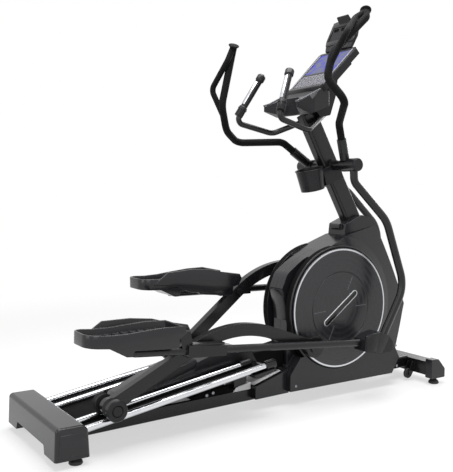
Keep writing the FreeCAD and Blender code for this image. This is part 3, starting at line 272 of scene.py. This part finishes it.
def badge_plastic():
    # Glossy black acrylic of the bare badge, with a faint moulded cloud.
    material, tree, shader = finish("gloss_black_acrylic", "#141410", 0.15)
    cloud = grain(tree, mm(20), 3)
    shade(tree, shader, cloud, "#10100e", "#1c1b17")
    polish(tree, shader, cloud, 0.1, 0.22)
    relief(tree, shader, cloud, mm(0.02), mm(0.5))
    return material


def dull_silver():
    # Satin nickel paint in the moulded lines: grey and half matt.
    material, tree, shader = finish("satin_nickel_paint", "#6d6e72", 0.4, Metallic=0.6)
    cloud = grain(tree, mm(10), 3)
    shade(tree, shader, cloud, "#626367", "#77787c")
    polish(tree, shader, cloud, 0.34, 0.5)
    relief(tree, shader, cloud, mm(0.02), mm(0.5))
    return material


def tread_rubber():
    # Overmoulded rubber tread: dull, dark grey where shoes have polished its ribs.
    material, tree, shader = finish("tread_rubber", "#202022", 0.55, Specular_IOR_Level=0.35)
    wear = grain(tree, mm(30), 4)
    shade(tree, shader, wear, "#19191a", "#29292c")
    polish(tree, shader, wear, 0.42, 0.62)
    relief(tree, shader, grain(tree, mm(2), 3), mm(0.1), mm(1))
    return material


def shadow_groove():
    # Matt near-black: painted shade deep in gaps, behind lips and slots and under the rails, and
    # the dark seam lines: hardly any gloss.
    material, tree, shader = finish("painted_shade_and_seam_black", "#050505", 0.8, Specular_IOR_Level=0.1)
    dust = grain(tree, mm(15), 3)
    shade(tree, shader, dust, "#040404", "#080808")
    polish(tree, shader, dust, 0.7, 0.9)
    return material


def plate_paint():
    # Light grey painted sheet steel: smooth, satin, with a faint roller texture.
    material, tree, shader = finish("grey_painted_sheet", "#c4c4c6", 0.5)
    cloud = grain(tree, mm(40), 3)
    shade(tree, shader, cloud, "#bebec0", "#cecfd0")
    polish(tree, shader, cloud, 0.45, 0.6)
    relief(tree, shader, grain(tree, mm(3), 2), mm(0.03), mm(1))
    return material


def white_sheet():
    # White powder-coated sheet steel of the shelf plates: bright and satin.
    material, tree, shader = finish("white_painted_sheet", "#e8e8e9", 0.4)
    cloud = grain(tree, mm(30), 3)
    shade(tree, shader, cloud, "#e0e0e1", "#f0f0f1")
    polish(tree, shader, cloud, 0.34, 0.48)
    relief(tree, shader, grain(tree, mm(3), 2), mm(0.03), mm(1))
    return material


def key_rubber():
    # Silicone key caps: light grey, dull, lightly dusted.
    material, tree, shader = finish("silicone_keys", "#6c6c72", 0.6)
    cloud = grain(tree, mm(6), 3)
    shade(tree, shader, cloud, "#626268", "#77777d")
    polish(tree, shader, cloud, 0.5, 0.7)
    relief(tree, shader, cloud, mm(0.05), mm(0.5))
    return material


COAT = powder_coat()
ABS = moulded_abs()
PP = moulded_pp()
DISC = disc_plastic()
CHROME = chrome()
SILVER = satin_silver()
ZINC = zinc_steel()
FOAM = nitrile_foam()
RUBBER = moulded_rubber()
GLASS = display_glass()
KEYS = key_membrane()
BADGE = badge_plastic()
WHITE = white_sheet()
KEYCAP = key_rubber()
SHADE_AND_SEAM_BLACK = shadow_groove()
PLATE = plate_paint()
TREAD = tread_rubber()
SILVER_DULL = dull_silver()

FINISHES = {
    COAT: (
        "main_beam rear_stabilizer front_stabilizer rail_bridge mast handlebar pivot_axle",
        "rail_arm pedal_arm swing_arm handle",
    ),
    PP: (
        "rail_guard console_shell"
        " console_bezel console_tray console_neck tablet_holder pulse_grips bottle_holder",
        "pedal knuckle_cover hub_cap roller_axle",
    ),
    ABS: (
        "housing_right housing_left rear_foot_cover front_stabilizer_caps beam_cover mast_collar",
        "",
    ),
    DISC: ("", "crank_disc"),
    CHROME: ("rails_right rails_left", ""),
    SILVER: ("pulse_sensors", "disc_ring thumb_button"),
    ZINC: ("crank_axle", ""),
    FOAM: ("", "handle_grip"),
    RUBBER: ("", "rail_rollers transport_wheel rear_foot front_foot"),
    GLASS: ("console_screen", ""),
    KEYS: ("key_panel", ""),
}
for material, (single, paired) in FINISHES.items():
    names = single.split() + [f"{name}_{side}" for name in paired.split() for side in SIDES]
    for name in names:
        mesh = nodes[name].data
        mesh.materials.clear()
        mesh.materials.append(material)

# ---------------------------------------------------------------- shapes


def at(x, y, z, tilt=0):
    """Place in mm, tilted in the side plane from +X towards +Z."""
    turn = Matrix.Rotation(-math.radians(tilt), 4, "Y")
    return Matrix.Translation(Vector((x, y, z)) / 1000) @ turn


def along(point, direction):
    """Place in mm whose Y axis runs in a direction."""
    turn = Vector((0, 1, 0)).rotation_difference(Vector(direction)).to_matrix().to_4x4()
    return Matrix.Translation(Vector(point) / 1000) @ turn


def soften(bm, edge, segments=2, sharper=0.5):
    """Rounds every edge sharper than an angle to a real radius."""
    bmesh.ops.recalc_face_normals(bm, faces=bm.faces)
    sharp = [e for e in bm.edges if e.is_manifold and e.calc_face_angle() > sharper]
    bmesh.ops.bevel(
        bm,
        geom=sharp,
        offset=mm(edge),
        offset_type="OFFSET",
        segments=segments,
        profile=0.5,
        affect="EDGES",
        material=-1,
        clamp_overlap=True,
    )


def reach(side, near, far):
    """Two distances from the middle plane on one side, the lower one first."""
    return sorted((SIGN[side] * near, SIGN[side] * far))


def slab(outline, low, high, edge=0.0):
    """Plate with an outline in X and Z, between two distances along Y."""
    bm = bmesh.new()
    face = bm.faces.new([bm.verts.new((mm(x), mm(low), mm(z))) for x, z in outline])
    grown = bmesh.ops.extrude_face_region(bm, geom=[face])["geom"]
    corners = [item for item in grown if isinstance(item, bmesh.types.BMVert)]
    bmesh.ops.translate(bm, verts=corners, vec=(0, mm(high - low), 0))
    if edge:
        soften(bm, edge)
    return bm


def turned(profile, steps=64):
    """Body turned about the Y axis, from (radius, y) points."""
    bm = bmesh.new()
    corners = [bm.verts.new((mm(r), mm(y), 0)) for r, y in profile]
    edges = [bm.edges.new(pair) for pair in zip(corners, corners[1:])]
    bmesh.ops.spin(
        bm,
        geom=corners + edges,
        cent=(0, 0, 0),
        axis=(0, 1, 0),
        dvec=(0, 0, 0),
        angle=2 * math.pi,
        steps=steps,
        use_merge=True,
    )
    bmesh.ops.remove_doubles(bm, verts=bm.verts, dist=1e-6)
    return bm


def capsule(length, width, low, high, edge=0.0):
    """Bar with half-round ends, along X, between two distances along Y."""
    half, end = width / 2, (length - width) / 2
    arc = [math.radians(15 * step) for step in range(-6, 7)]
    front = [(end + half * math.cos(a), half * math.sin(a)) for a in arc]
    rear = [(-x, -z) for x, z in front]
    return slab(front + rear, low, high, edge)


def joined(*parts):
    """One bmesh from several, each given with its place."""
    whole = bmesh.new()
    for bm, where in parts:
        bm.transform(where)
        mesh = bpy.data.meshes.new("part")
        bm.to_mesh(mesh)
        bm.free()
        whole.from_mesh(mesh)
        bpy.data.meshes.remove(mesh)
    return whole


def piece(name, bm, material, body, where=None):
    """Makes an object of a bmesh, shaded smooth but for its sharp edges, and lets it ride."""
    bm.transform(where or Matrix())
    # a transform leaves the old normals, which would turn a mirrored shell inside out
    bm.normal_update()
    bmesh.ops.recalc_face_normals(bm, faces=bm.faces)
    for face in bm.faces:
        face.smooth = True
    for edge in bm.edges:
        edge.smooth = not edge.is_manifold or edge.calc_face_angle() < math.radians(35)
    mesh = bpy.data.meshes.new(name)
    bm.to_mesh(mesh)
    bm.free()
    mesh.materials.append(material)
    thing = bpy.data.objects.new(name, mesh)
    bpy.context.scene.collection.objects.link(thing)
    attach(thing, body)
    return thing


def screw_head(radius, height):
    """Button-head screw with a hexagon socket, standing on Y = 0 towards -Y."""
    socket = radius * 0.5
    return turned(
        [
            (0, -height + 1.2),
            (socket, -height + 1.2),
            (socket, -height),
            (radius * 0.75, -height),
            (radius, -height * 0.4),
            (radius, 0),
            (0, 0),
        ],
        24,
    )


# ---------------------------------------------------------------- crank discs

# crank axis in X and Z, and the flat middle of a disc, from the middle plane
CRANK = (406.5, 403)
HUB_FACE = 106.5
# turns of the badge and of the lines on the hub, in degrees
BADGE_TURN = 36
HUB_LINES = (1, 63.5, 184.5, 244)
HUB_LINE_RADIUS = 120


def disc_fittings(side):
    """Bare badge and the four short lines on the hub of a crank disc."""
    sign = SIGN[side]
    place = at(CRANK[0], 0, CRANK[1])
    tilt = Matrix.Rotation(-math.radians(BADGE_TURN), 4, "Y")
    rim = capsule(232, 31, sign * (HUB_FACE - 0.5), sign * (HUB_FACE + 1.3), 0.5)
    piece(f"badge_rim_{side}", rim, SILVER, "crank", place @ tilt)
    field = capsule(224, 23, sign * (HUB_FACE + 0.6), sign * (HUB_FACE + 1.6), 0.3)
    piece(f"badge_field_{side}", field, BADGE, "crank", place @ tilt)
    strips = []
    for angle in HUB_LINES:
        turn = Matrix.Rotation(-math.radians(angle), 4, "Y")
        strip = capsule(66, 2.6, sign * (HUB_FACE - 0.4), sign * (HUB_FACE + 0.5), 0.2)
        strips.append((strip, turn @ at(HUB_LINE_RADIUS, 0, 0)))
    piece(f"hub_lines_{side}", joined(*strips), SILVER_DULL, "crank", place)


for side in SIDES:
    disc_fittings(side)


# ---------------------------------------------------------------- pedals

# pedal arm pivot in X and Z, and the tilt of the arm and of its pedal, at rest
PEDAL_ARMS = {"right": (-384.9, 329.9, -4.63, 0.0), "left": (27.9, 476.2, -1.30, 3.33)}
TREAD_FLOOR = 84
TREAD_HEIGHT = 5
TREAD_MIDDLE = 204
HEEL_FROM = -480
HEEL_ROUND = 46
TREAD_RIBS = [-466 + 34 * number for number in range(11)]
TRAY = [
    (-487, 72), (-485, 117), (-402, 109), (-340, 108), (-270, 112), (-190, 115), (-106, 112),
    (-96, 86), (-113, 76), (-129, 64), (-129, 32), (-306, 44), (-318, 24), (-337, 26),
    (-400, 62),
]
INNER_WALL = [
    (-434, 88), (-366, 133), (-255, 133), (-162, 122), (-100, 104), (-8, 84), (2, 64),
    (-14, 36), (-60, 28), (-120, 22), (-181, 20), (-267, 37), (-344, 72),
]
BRACKET = [(-226, 56), (-226, 30), (-205, 16), (-120, 2), (-50, -12), (-40, 20), (-40, 40)]


def pedal_tray(side):
    """Foot tray: rounded heel, hollow top, high inner wall and the plate that holds its arm."""
    bm = slab(TRAY, *reach(side, 127, 279))
    bmesh.ops.recalc_face_normals(bm, faces=bm.faces)
    heel = [e for e in bm.edges if all(v.co.x < mm(HEEL_FROM) for v in e.verts)]
    heel = [e for e in heel if abs(e.verts[0].co.y - e.verts[1].co.y) < mm(1)]
    bmesh.ops.bevel(
        bm, geom=heel, offset=mm(HEEL_ROUND), offset_type="OFFSET", segments=8, profile=0.5,
        affect="EDGES", material=-1, clamp_overlap=True,
    )
    top = [f for f in bm.faces if f.normal.z > 0.9 and f.calc_center_median().z > mm(100)]
    bmesh.ops.inset_region(bm, faces=top, thickness=mm(7), use_even_offset=True)
    sunk = bmesh.ops.extrude_face_region(bm, geom=top)["geom"]
    bmesh.ops.delete(bm, geom=top, context="FACES")
    for corner in [item for item in sunk if isinstance(item, bmesh.types.BMVert)]:
        corner.co.z = mm(TREAD_FLOOR)
    soften(bm, 2.2, 2, 0.6)
    wall = slab(INNER_WALL, *reach(side, 120, 129), 2.5)
    plate = slab(BRACKET, *reach(side, 130, 142), 2)
    return joined((bm, Matrix()), (wall, Matrix()), (plate, Matrix()))


def pedal_fittings(side):
    """The tray and the raised cross ribs on its floor."""
    x, z, _, tilt = PEDAL_ARMS[side]
    body = side + "_pedal_arm"
    place = at(x, 0, z, tilt)
    tray = piece(f"pedal_tray_{side}", pedal_tray(side), ABS, body, place)
    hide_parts("pedal_" + side)
    ribs = []
    for number, rib in enumerate(TREAD_RIBS):
        half = 54 if number == 0 else 62 if number == 1 else 66
        middle = SIGN[side] * TREAD_MIDDLE
        foot = TREAD_FLOOR - 1
        top = TREAD_FLOOR + TREAD_HEIGHT
        outline = [(rib - 9, foot), (rib - 6, top), (rib + 6, top), (rib + 9, foot)]
        ribs.append((slab(outline, middle - half, middle + half, 1.2), Matrix()))
    piece(f"tread_ribs_{side}", joined(*ribs), TREAD, body, place)


KNUCKLE_PANEL = [(800, 34), (829, 43), (882, 51), (942, 33), (903, -43), (807, -31)]
KNUCKLE_FACE = [(810, 28), (831, 34), (872, 40), (866, -33), (813, -26)]


def knuckle_panel(side):
    """Six-sided panel on the outer side of the cover over the swing arm's pin."""
    x, z, tilt, _ = PEDAL_ARMS[side]
    panel = slab(KNUCKLE_PANEL, *reach(side, 250, 263), 3.5)
    face = slab(KNUCKLE_FACE, *reach(side, 262, 264.5), 1)
    whole = joined((panel, Matrix()), (face, Matrix()))
    body = side + "_pedal_arm"
    piece(f"knuckle_panel_{side}", whole, PP, body, at(x, 0, z, tilt))


for side in SIDES:
    pedal_fittings(side)
    knuckle_panel(side)


# ---------------------------------------------------------------- base and housing


# half width of the housing's skirt, where its screws sit
HOUSING_HALF = 100


def base_fittings():
    """Bay between the rails, plate on the cover's slope over a border of painted shade, shelf in
    painted shade, seams and screws.
    """
    bay = [(-856, 72), (-640, 72), (-640, 104), (-648, 104), (-652, 80), (-850, 80), (-856, 100)]
    piece("rail_bay", slab(bay, -77, 77, 1.5), PP, "frame")
    # the bed is a near-black border just wider than the plate: painted shade round its edges
    plate_shade_outline = [(-34, 99), (118, 145), (118, 148.5), (-34, 102.5)]
    piece("cover_plate_shade", slab(plate_shade_outline, -62, 62, 0.5), SHADE_AND_SEAM_BLACK, "frame")
    plate = [(-30, 101), (112, 144), (112, 149.5), (-30, 106.5)]
    piece("cover_plate", slab(plate, -54, 54, 1.5), PLATE, "frame")
    # the shelf is near-black: painted shade on the top of the beam
    shelf = [(-330, 70), (-37, 70), (-37, 103), (-140, 100), (-150, 116), (-300, 100), (-330, 84)]
    piece("beam_shelf_shade", slab(shelf, -38, 38, 2), SHADE_AND_SEAM_BLACK, "frame")
    lid = [(-128, 84), (-38, 86), (-38, 116), (-108, 104)]
    piece("shelf_plates", slab(lid, -41, 41, 1), WHITE, "frame")
    seams = []
    for side in SIDES:
        for x, foot, top in ((-35, 47, 100), (141, 55, 150)):
            outline = [(x - 1.2, foot), (x + 1.2, foot), (x + 1.2, top), (x - 1.2, top)]
            seams.append((slab(outline, *reach(side, 71, 72.4), 0.3), Matrix()))
    piece("cover_seams", joined(*seams), SHADE_AND_SEAM_BLACK, "frame")
    screws = []
    for x, z in ((-256, 92), (-226, 98)):
        screws.append((screw_head(8, 5), at(x, -38, z)))
    for x, z in ((160, 82), (770, 90), (760, 190)):
        screws.append((screw_head(6, 2.6), at(x, -HOUSING_HALF, z)))
        turn = Matrix.Rotation(math.pi, 4, "Z")
        screws.append((screw_head(6, 2.6), at(x, HOUSING_HALF, z) @ turn))
    piece("base_screws", joined(*screws), ZINC, "frame")


def housing_fittings():
    """Near-black rings of painted shade behind the lips round the discs, and the smooth nape of
    the hood.
    """
    for side in SIDES:
        sign = SIGN[side]
        low, high = sign * 71, sign * 95
        profile = [(280.5, low), (281.8, low), (281.8, high), (280.5, high), (280.5, low)]
        # the ring stands on the wall behind the lip and paints the shade that falls there
        shade_ring = turned(profile, 128)
        place = at(CRANK[0], 0, CRANK[1])
        piece(f"lip_shade_ring_{side}", shade_ring, SHADE_AND_SEAM_BLACK, "frame", place)
    nape = [(150, 330), (147, 380), (140, 425), (130, 465), (122, 500), (160, 520), (170, 330)]
    piece("hood_nape", slab(nape, -46.6, 46.6, 3), ABS, "frame")


def foot_cover_fittings():
    """Raised panels on the ends of the rear cover."""
    panel = [(-972, 40), (-964, 118), (-890, 118), (-872, 96), (-862, 40)]
    for side in SIDES:
        end = slab(panel, *reach(side, 264, 267.5), 1.5)
        piece(f"cover_end_{side}", end, ABS, "frame")


foot_cover_fittings()


# height of the rails' centre lines over X = 0, and their climb
RAIL_LEVEL = 235.7
RAIL_SLOPE = math.tan(math.radians(8.92))


def rail_height(x):
    """Height of the rails' centre lines."""
    return RAIL_LEVEL + x * RAIL_SLOPE


def guard_apron():
    """Near-black sheet of painted shade under the rails, the guard's skirt, its bridge to the
    housing in painted shade and its low tail.
    """
    rear, front = -866, -62
    # a thin near-black sheet that paints the shade under the rails
    rail_shade_outline = [(x, rail_height(x) - 14) for x in (rear, front)]
    rail_shade_outline += [(x, rail_height(x) - 9) for x in (front, rear)]
    piece("under_rail_shade", slab(rail_shade_outline, -191, 191, 1), SHADE_AND_SEAM_BLACK, "frame")
    skirt = [(x, rail_height(x) - 10) for x in (-660, -150)] + [(-150, 224), (-322, 224)]
    piece("guard_skirt", slab(skirt, -77, 77, 2), PP, "frame")
    # the bridge is near-black painted shade
    bridge = [(-180, 214), (-40, 236), (60, 250), (135, 262), (135, 160), (20, 150), (-60, 212)]
    piece("guard_bridge", slab(bridge, -42, 42, 2), SHADE_AND_SEAM_BLACK, "frame")
    tail = [(-660, 118), (-640, 146), (-520, 196), (-420, 232), (-322, 258), (-322, 200)]
    piece("guard_apron", slab(tail, -75, 75, 6), PP, "frame")


base_fittings()
housing_fittings()
guard_apron()

# outer face of the roller covers, and the roller axles in X and Z at rest
ROLLER_COVER = 241.8
ROLLER_AXLES = {"right": (-742, 158), "left": (-283, 230)}


def roller_groove_shade(side):
    """Near-black painted shade on the floor of the ring groove in a roller cover."""
    x, z = ROLLER_AXLES[side]
    low, high = (SIGN[side] * (ROLLER_COVER - depth) for depth in (1.7, 1.1))
    groove_shade_ring = turned([(18.1, low), (20.9, low), (20.9, high), (18.1, high), (18.1, low)], 48)
    piece(f"roller_groove_shade_{side}", groove_shade_ring, SHADE_AND_SEAM_BLACK, f"{side}_carriage", at(x, 0, z))


for side in SIDES:
    roller_groove_shade(side)


def tablet_fittings():
    """Near-black painted shade behind the holder's slots, and the raised frame on its face."""
    face = at(470, 0, 1560, -20) @ Matrix.Rotation(math.pi / 2, 4, "Z")
    slot_shade_outline = slab([(-68, 90), (68, 90), (68, 118), (-68, 118)], -3, 3, 1)
    piece("holder_slot_shade", slot_shade_outline, SHADE_AND_SEAM_BLACK, "frame", face)
    bars = []
    for outline in (
        [(-84, 118), (84, 118), (80, 146), (-80, 146)],
        [(-97, 52), (-84, 52), (-72, 118), (-84, 118)],
        [(84, 118), (72, 118), (84, 52), (97, 52)],
        [(-92, 30), (92, 30), (97, 52), (-97, 52)],
    ):
        bars.append((slab(outline, 5, 9.5, 1.5), Matrix()))
    piece("holder_frame", joined(*bars), ABS, "frame", face)


tablet_fittings()


# ---------------------------------------------------------------- cockpit

# the right handle at rest: its foam starts above the socket and follows these points
HANDLE_SOCKET = (407, -122, 1062)
HANDLE_RUN = [
    (350, -145, 1216), (236, -312, 1292), (184, -258, 1385), (222, -250, 1495),
    (396, -256, 1652), (414, -234, 1686),
]
HANDLE_BENDS = [42, 40, 60, 120, 20]
SOCKET_HEIGHT = 88
LOOP_RUN = [(203, -254, 1438), (245, -303, 1568), (352, -238, 1648), (407, -238, 1681)]
LOOP_BENDS = [45, 40]
FLARE = [(0, -4), (19, -4), (23.5, 0.5), (24, 2), (24, 4), (22.5, 5.2), (0, 7)]
# the left handle is the right one mirrored, then turned about the swing arms' pivot
SWING_PIVOT = (418, 0, 1040)
LEFT_TURN = 33.756


def bent_tube(points, bends, radius):
    """Round tube along straight runs that are joined by bends, closed at both ends."""
    runs = [Vector(point) / 1000 for point in points]
    stops = [(runs[0], (runs[1] - runs[0]).normalized(), mm(10))]
    for before, corner, after, bend in zip(runs, runs[1:], runs[2:], bends):
        inward, outward = (corner - before).normalized(), (after - corner).normalized()
        turn = inward.angle(outward)
        setback = mm(bend) * math.tan(turn / 2)
        pull = 4 / 3 * math.tan(turn / 4) * mm(bend)
        stops.append((corner - inward * setback, inward, pull))
        stops.append((corner + outward * setback, outward, pull))
    stops.append((runs[-1], (runs[-1] - runs[-2]).normalized(), mm(10)))
    curve = bpy.data.curves.new("tube_line", "CURVE")
    curve.dimensions = "3D"
    curve.bevel_depth = mm(radius)
    curve.bevel_resolution = 8
    curve.resolution_u = 10
    curve.use_fill_caps = True
    spline = curve.splines.new("BEZIER")
    spline.bezier_points.add(len(stops) - 1)
    for point, (place, tangent, pull) in zip(spline.bezier_points, stops):
        point.co = place
        point.handle_left = place - tangent * pull
        point.handle_right = place + tangent * pull
    holder = bpy.data.objects.new("tube_line", curve)
    mesh = bpy.data.meshes.new_from_object(holder)
    bm = bmesh.new()
    bm.from_mesh(mesh)
    bmesh.ops.remove_doubles(bm, verts=bm.verts, dist=1e-6)
    bpy.data.objects.remove(holder)
    bpy.data.curves.remove(curve)
    bpy.data.meshes.remove(mesh)
    return bm


def handle_foam(side):
    """Foam from the handle's socket over its bends, the second foam tube and the flared end."""
    socket, knee = Vector(HANDLE_SOCKET), Vector(HANDLE_RUN[0])
    start = socket + (knee - socket).normalized() * SOCKET_HEIGHT
    main = bent_tube([start, *HANDLE_RUN], HANDLE_BENDS, 16.4)
    loop = bent_tube(LOOP_RUN, LOOP_BENDS, 13)
    last = Vector(HANDLE_RUN[-1])
    end = turned(FLARE, 40)
    flare = along(last, last - Vector(HANDLE_RUN[-2]))
    whole = joined((main, Matrix()), (loop, Matrix()), (end, flare))
    where = Matrix()
    if side == "left":
        where = at(*SWING_PIVOT, LEFT_TURN) @ at(*SWING_PIVOT).inverted()
        where = where @ Matrix.Diagonal((1, -1, 1, 1))
    foam = piece(f"handle_foam_{side}", whole, FOAM, f"{side}_swing", where)
    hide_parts("handle_grip_" + side)


for side in SIDES:
    handle_foam(side)

# lower end and upper end of the right pulse grip
PULSE_LOW = Vector((42, -146, 1283))
PULSE_HIGH = Vector((118, -99, 1432))


def pulse_fittings(side):
    """Narrow metal contact on the user's side of a pulse grip, its socket and its head."""
    sign = SIGN[side]
    low = Vector((PULSE_LOW.x, -sign * PULSE_LOW.y, PULSE_LOW.z))
    high = Vector((PULSE_HIGH.x, -sign * PULSE_HIGH.y, PULSE_HIGH.z))
    run = high - low
    place = along(low, run)
    length = run.length
    profile = [(15.2, 24), (16.6, 26), (16.6, length - 38), (15.2, length - 36), (15.2, 24)]
    strip = turned(profile, 48)
    # only the part that faces the user stays
    user = (place.to_3x3().inverted() @ Vector((-1, 0, 0.25))).normalized()
    user.y = 0
    user.normalize()
    for turn in (-48, 48):
        wall = Matrix.Rotation(math.radians(turn), 3, "Y") @ user
        bmesh.ops.bisect_plane(
            strip, geom=strip.verts[:] + strip.edges[:] + strip.faces[:], dist=1e-6,
            plane_co=(0, 0, 0), plane_no=wall, clear_inner=True,
        )
    bmesh.ops.holes_fill(strip, edges=[e for e in strip.edges if e.is_boundary])
    piece(f"pulse_contact_{side}", strip, SILVER, "frame", place)
    socket = turned([(0, -34), (17, -34), (19, -31), (19, 12), (16, 16), (0, 16)], 40)
    head = turned([(0, length - 30), (16, length - 30), (19.5, length - 26), (19.5, length - 6),
                   (17, length - 2), (12, length - 1), (0, length - 1)], 40)
    both = joined((socket, Matrix()), (head, Matrix()))
    piece(f"pulse_ends_{side}", both, PP, "frame", place)


for side in SIDES:
    pulse_fittings(side)
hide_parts("pulse_sensors")


KEY_ROWS = 8
KEY_COLUMNS = 9
KEY_ROW_STEP = 9.5
KEY_COLUMN_STEP = 21.5


def console_fittings():
    """Trims beside the face, its lower lip, the key rows and the lines on the tray."""
    face = at(277.5, 0, 1375, 44.1)
    trims = []
    edge = [(16, -1), (252, -1), (252, 2.5), (16, 2.5)]
    for side in SIDES:
        trims.append((slab(edge, *reach(side, 104, 113), 1), Matrix()))
    piece("console_trims", joined(*trims), KEYCAP, "frame", face)
    lip = slab([(-14, -16), (10, -4), (13, 5), (-6, 7), (-18, -4)], -112, 112, 3)
    piece("console_lip", lip, PP, "frame", face)
    rows = []
    for row in range(KEY_ROWS):
        for column in range(KEY_COLUMNS):
            x = 20 + row * KEY_ROW_STEP
            y = (column - (KEY_COLUMNS - 1) / 2) * KEY_COLUMN_STEP
            key = [(x, -1.5), (x + 7, -1.5), (x + 7, 0.6), (x, 0.6)]
            rows.append((slab(key, y - 9, y + 9, 0.6), Matrix()))
    piece("console_keys", joined(*rows), KEYCAP, "frame", face)
    arc = [
        (136, 1300), (170, 1310), (215, 1332), (272, 1361), (270, 1366), (213, 1338), (168, 1316),
        (136, 1306),
    ]
    sides = []
    for side in SIDES:
        sides.append((slab(arc, *reach(side, 111, 118), 1), Matrix()))
    piece("tray_trims", joined(*sides), SILVER_DULL, "frame")


console_fittings()


# ---------------------------------------------------------------- studio

# metres: half width of the floor, and where its shadows start and end to fade to white
FLOOR_HALF = 14
FLOOR_LIT = 1.4
FLOOR_GONE = 3.6
# how brightly the backdrop lights the machine, where 1 is how it looks
BACKDROP_LIGHT = 0.18


def looked_at(tree):
    """1 for what the camera sees, straight, mirrored or through glass, and 0 for stray light."""
    rays = add(tree, "LightPath").outputs
    seen = rays["Is Camera Ray"]
    for kind in ("Is Glossy Ray", "Is Transmission Ray"):
        seen = add(tree, "Math", {0: seen, 1: rays[kind]}, operation="MAXIMUM").outputs[0]
    return seen


def floor_material():
    # White paper sweep: keeps the machine's soft shadow, then fades into the backdrop.
    material = bpy.data.materials.new("white_paper")
    material.use_nodes = True
    tree = material.node_tree
    tree.nodes.clear()
    place = add(tree, "TexCoord").outputs["Object"]
    far = add(tree, "VectorMath", {0: place}, operation="LENGTH").outputs["Value"]
    limits = {"From Min": FLOOR_LIT, "From Max": FLOOR_GONE, "To Min": 0.6, "To Max": 1}
    limits["Value"] = far
    fade = add(tree, "MapRange", limits, interpolation_type="SMOOTHSTEP").outputs["Result"]
    seen = looked_at(tree)
    share = add(tree, "Math", {0: fade, 1: seen}, operation="MULTIPLY").outputs[0]
    paper = add(tree, "BsdfDiffuse", {"Color": linear("#f4f4f4")}).outputs["BSDF"]
    white = add(tree, "Emission", {"Color": (1, 1, 1, 1), "Strength": 1}).outputs["Emission"]
    both = add(tree, "MixShader", {0: share, 1: paper, 2: white}).outputs["Shader"]
    add(tree, "OutputMaterial", {"Surface": both})
    return material


def floor():
    mesh = bpy.data.meshes.new("floor")
    half = FLOOR_HALF
    corners = [(-half, -half, 0), (half, -half, 0), (half, half, 0), (-half, half, 0)]
    mesh.from_pydata(corners, [], [(0, 1, 2, 3)])
    mesh.materials.append(floor_material())
    thing = bpy.data.objects.new("floor", mesh)
    bpy.context.scene.collection.objects.link(thing)


def softbox(name, place, target, width, height, power):
    light = bpy.data.lights.new(name, "AREA")
    light.shape = "RECTANGLE"
    light.size = width
    light.size_y = height
    light.energy = power
    thing = bpy.data.objects.new(name, light)
    thing.location = place
    aim = Vector(target) - Vector(place)
    thing.rotation_euler = aim.to_track_quat("-Z", "Y").to_euler()
    bpy.context.scene.collection.objects.link(thing)


def world():
    sky = bpy.data.worlds.new("white_studio")
    bpy.context.scene.world = sky
    sky.use_nodes = True
    tree = sky.node_tree
    tree.nodes.clear()
    seen = looked_at(tree)
    dim = add(tree, "Background", {"Color": (1, 1, 1, 1), "Strength": BACKDROP_LIGHT})
    full = add(tree, "Background", {"Color": (1, 1, 1, 1), "Strength": 1.0})
    both = {0: seen, 1: dim.outputs["Background"], 2: full.outputs["Background"]}
    both = add(tree, "MixShader", both).outputs["Shader"]
    add(tree, "OutputWorld", {"Surface": both})


def camera():
    lens = bpy.data.cameras.new("camera")
    lens.lens = 56.508
    lens.sensor_width = 36
    lens.sensor_fit = "AUTO"
    lens.clip_end = 60
    thing = bpy.data.objects.new("camera", lens)
    thing.location = (-1.80312, -2.59313, 0.95382)
    thing.rotation_euler = Euler((math.radians(86.0336), 0, math.radians(-32.7734)))
    bpy.context.scene.collection.objects.link(thing)
    bpy.context.scene.camera = thing


floor()
world()
camera()
softbox("overhead", (0.0, -0.2, 3.4), (0, 0, 0.4), 3.2, 2.4, 160)
softbox("near_side", (-1.2, -3.6, 1.9), (0, 0, 0.7), 2.4, 2.0, 22)
softbox("rear_side", (-3.6, -0.8, 1.8), (0, 0, 0.6), 1.6, 2.2, 26)
softbox("front_rim", (3.2, 1.4, 2.4), (0.3, 0, 0.8), 1.2, 2.4, 45)

scene = bpy.context.scene
scene.view_settings.view_transform = "Standard"
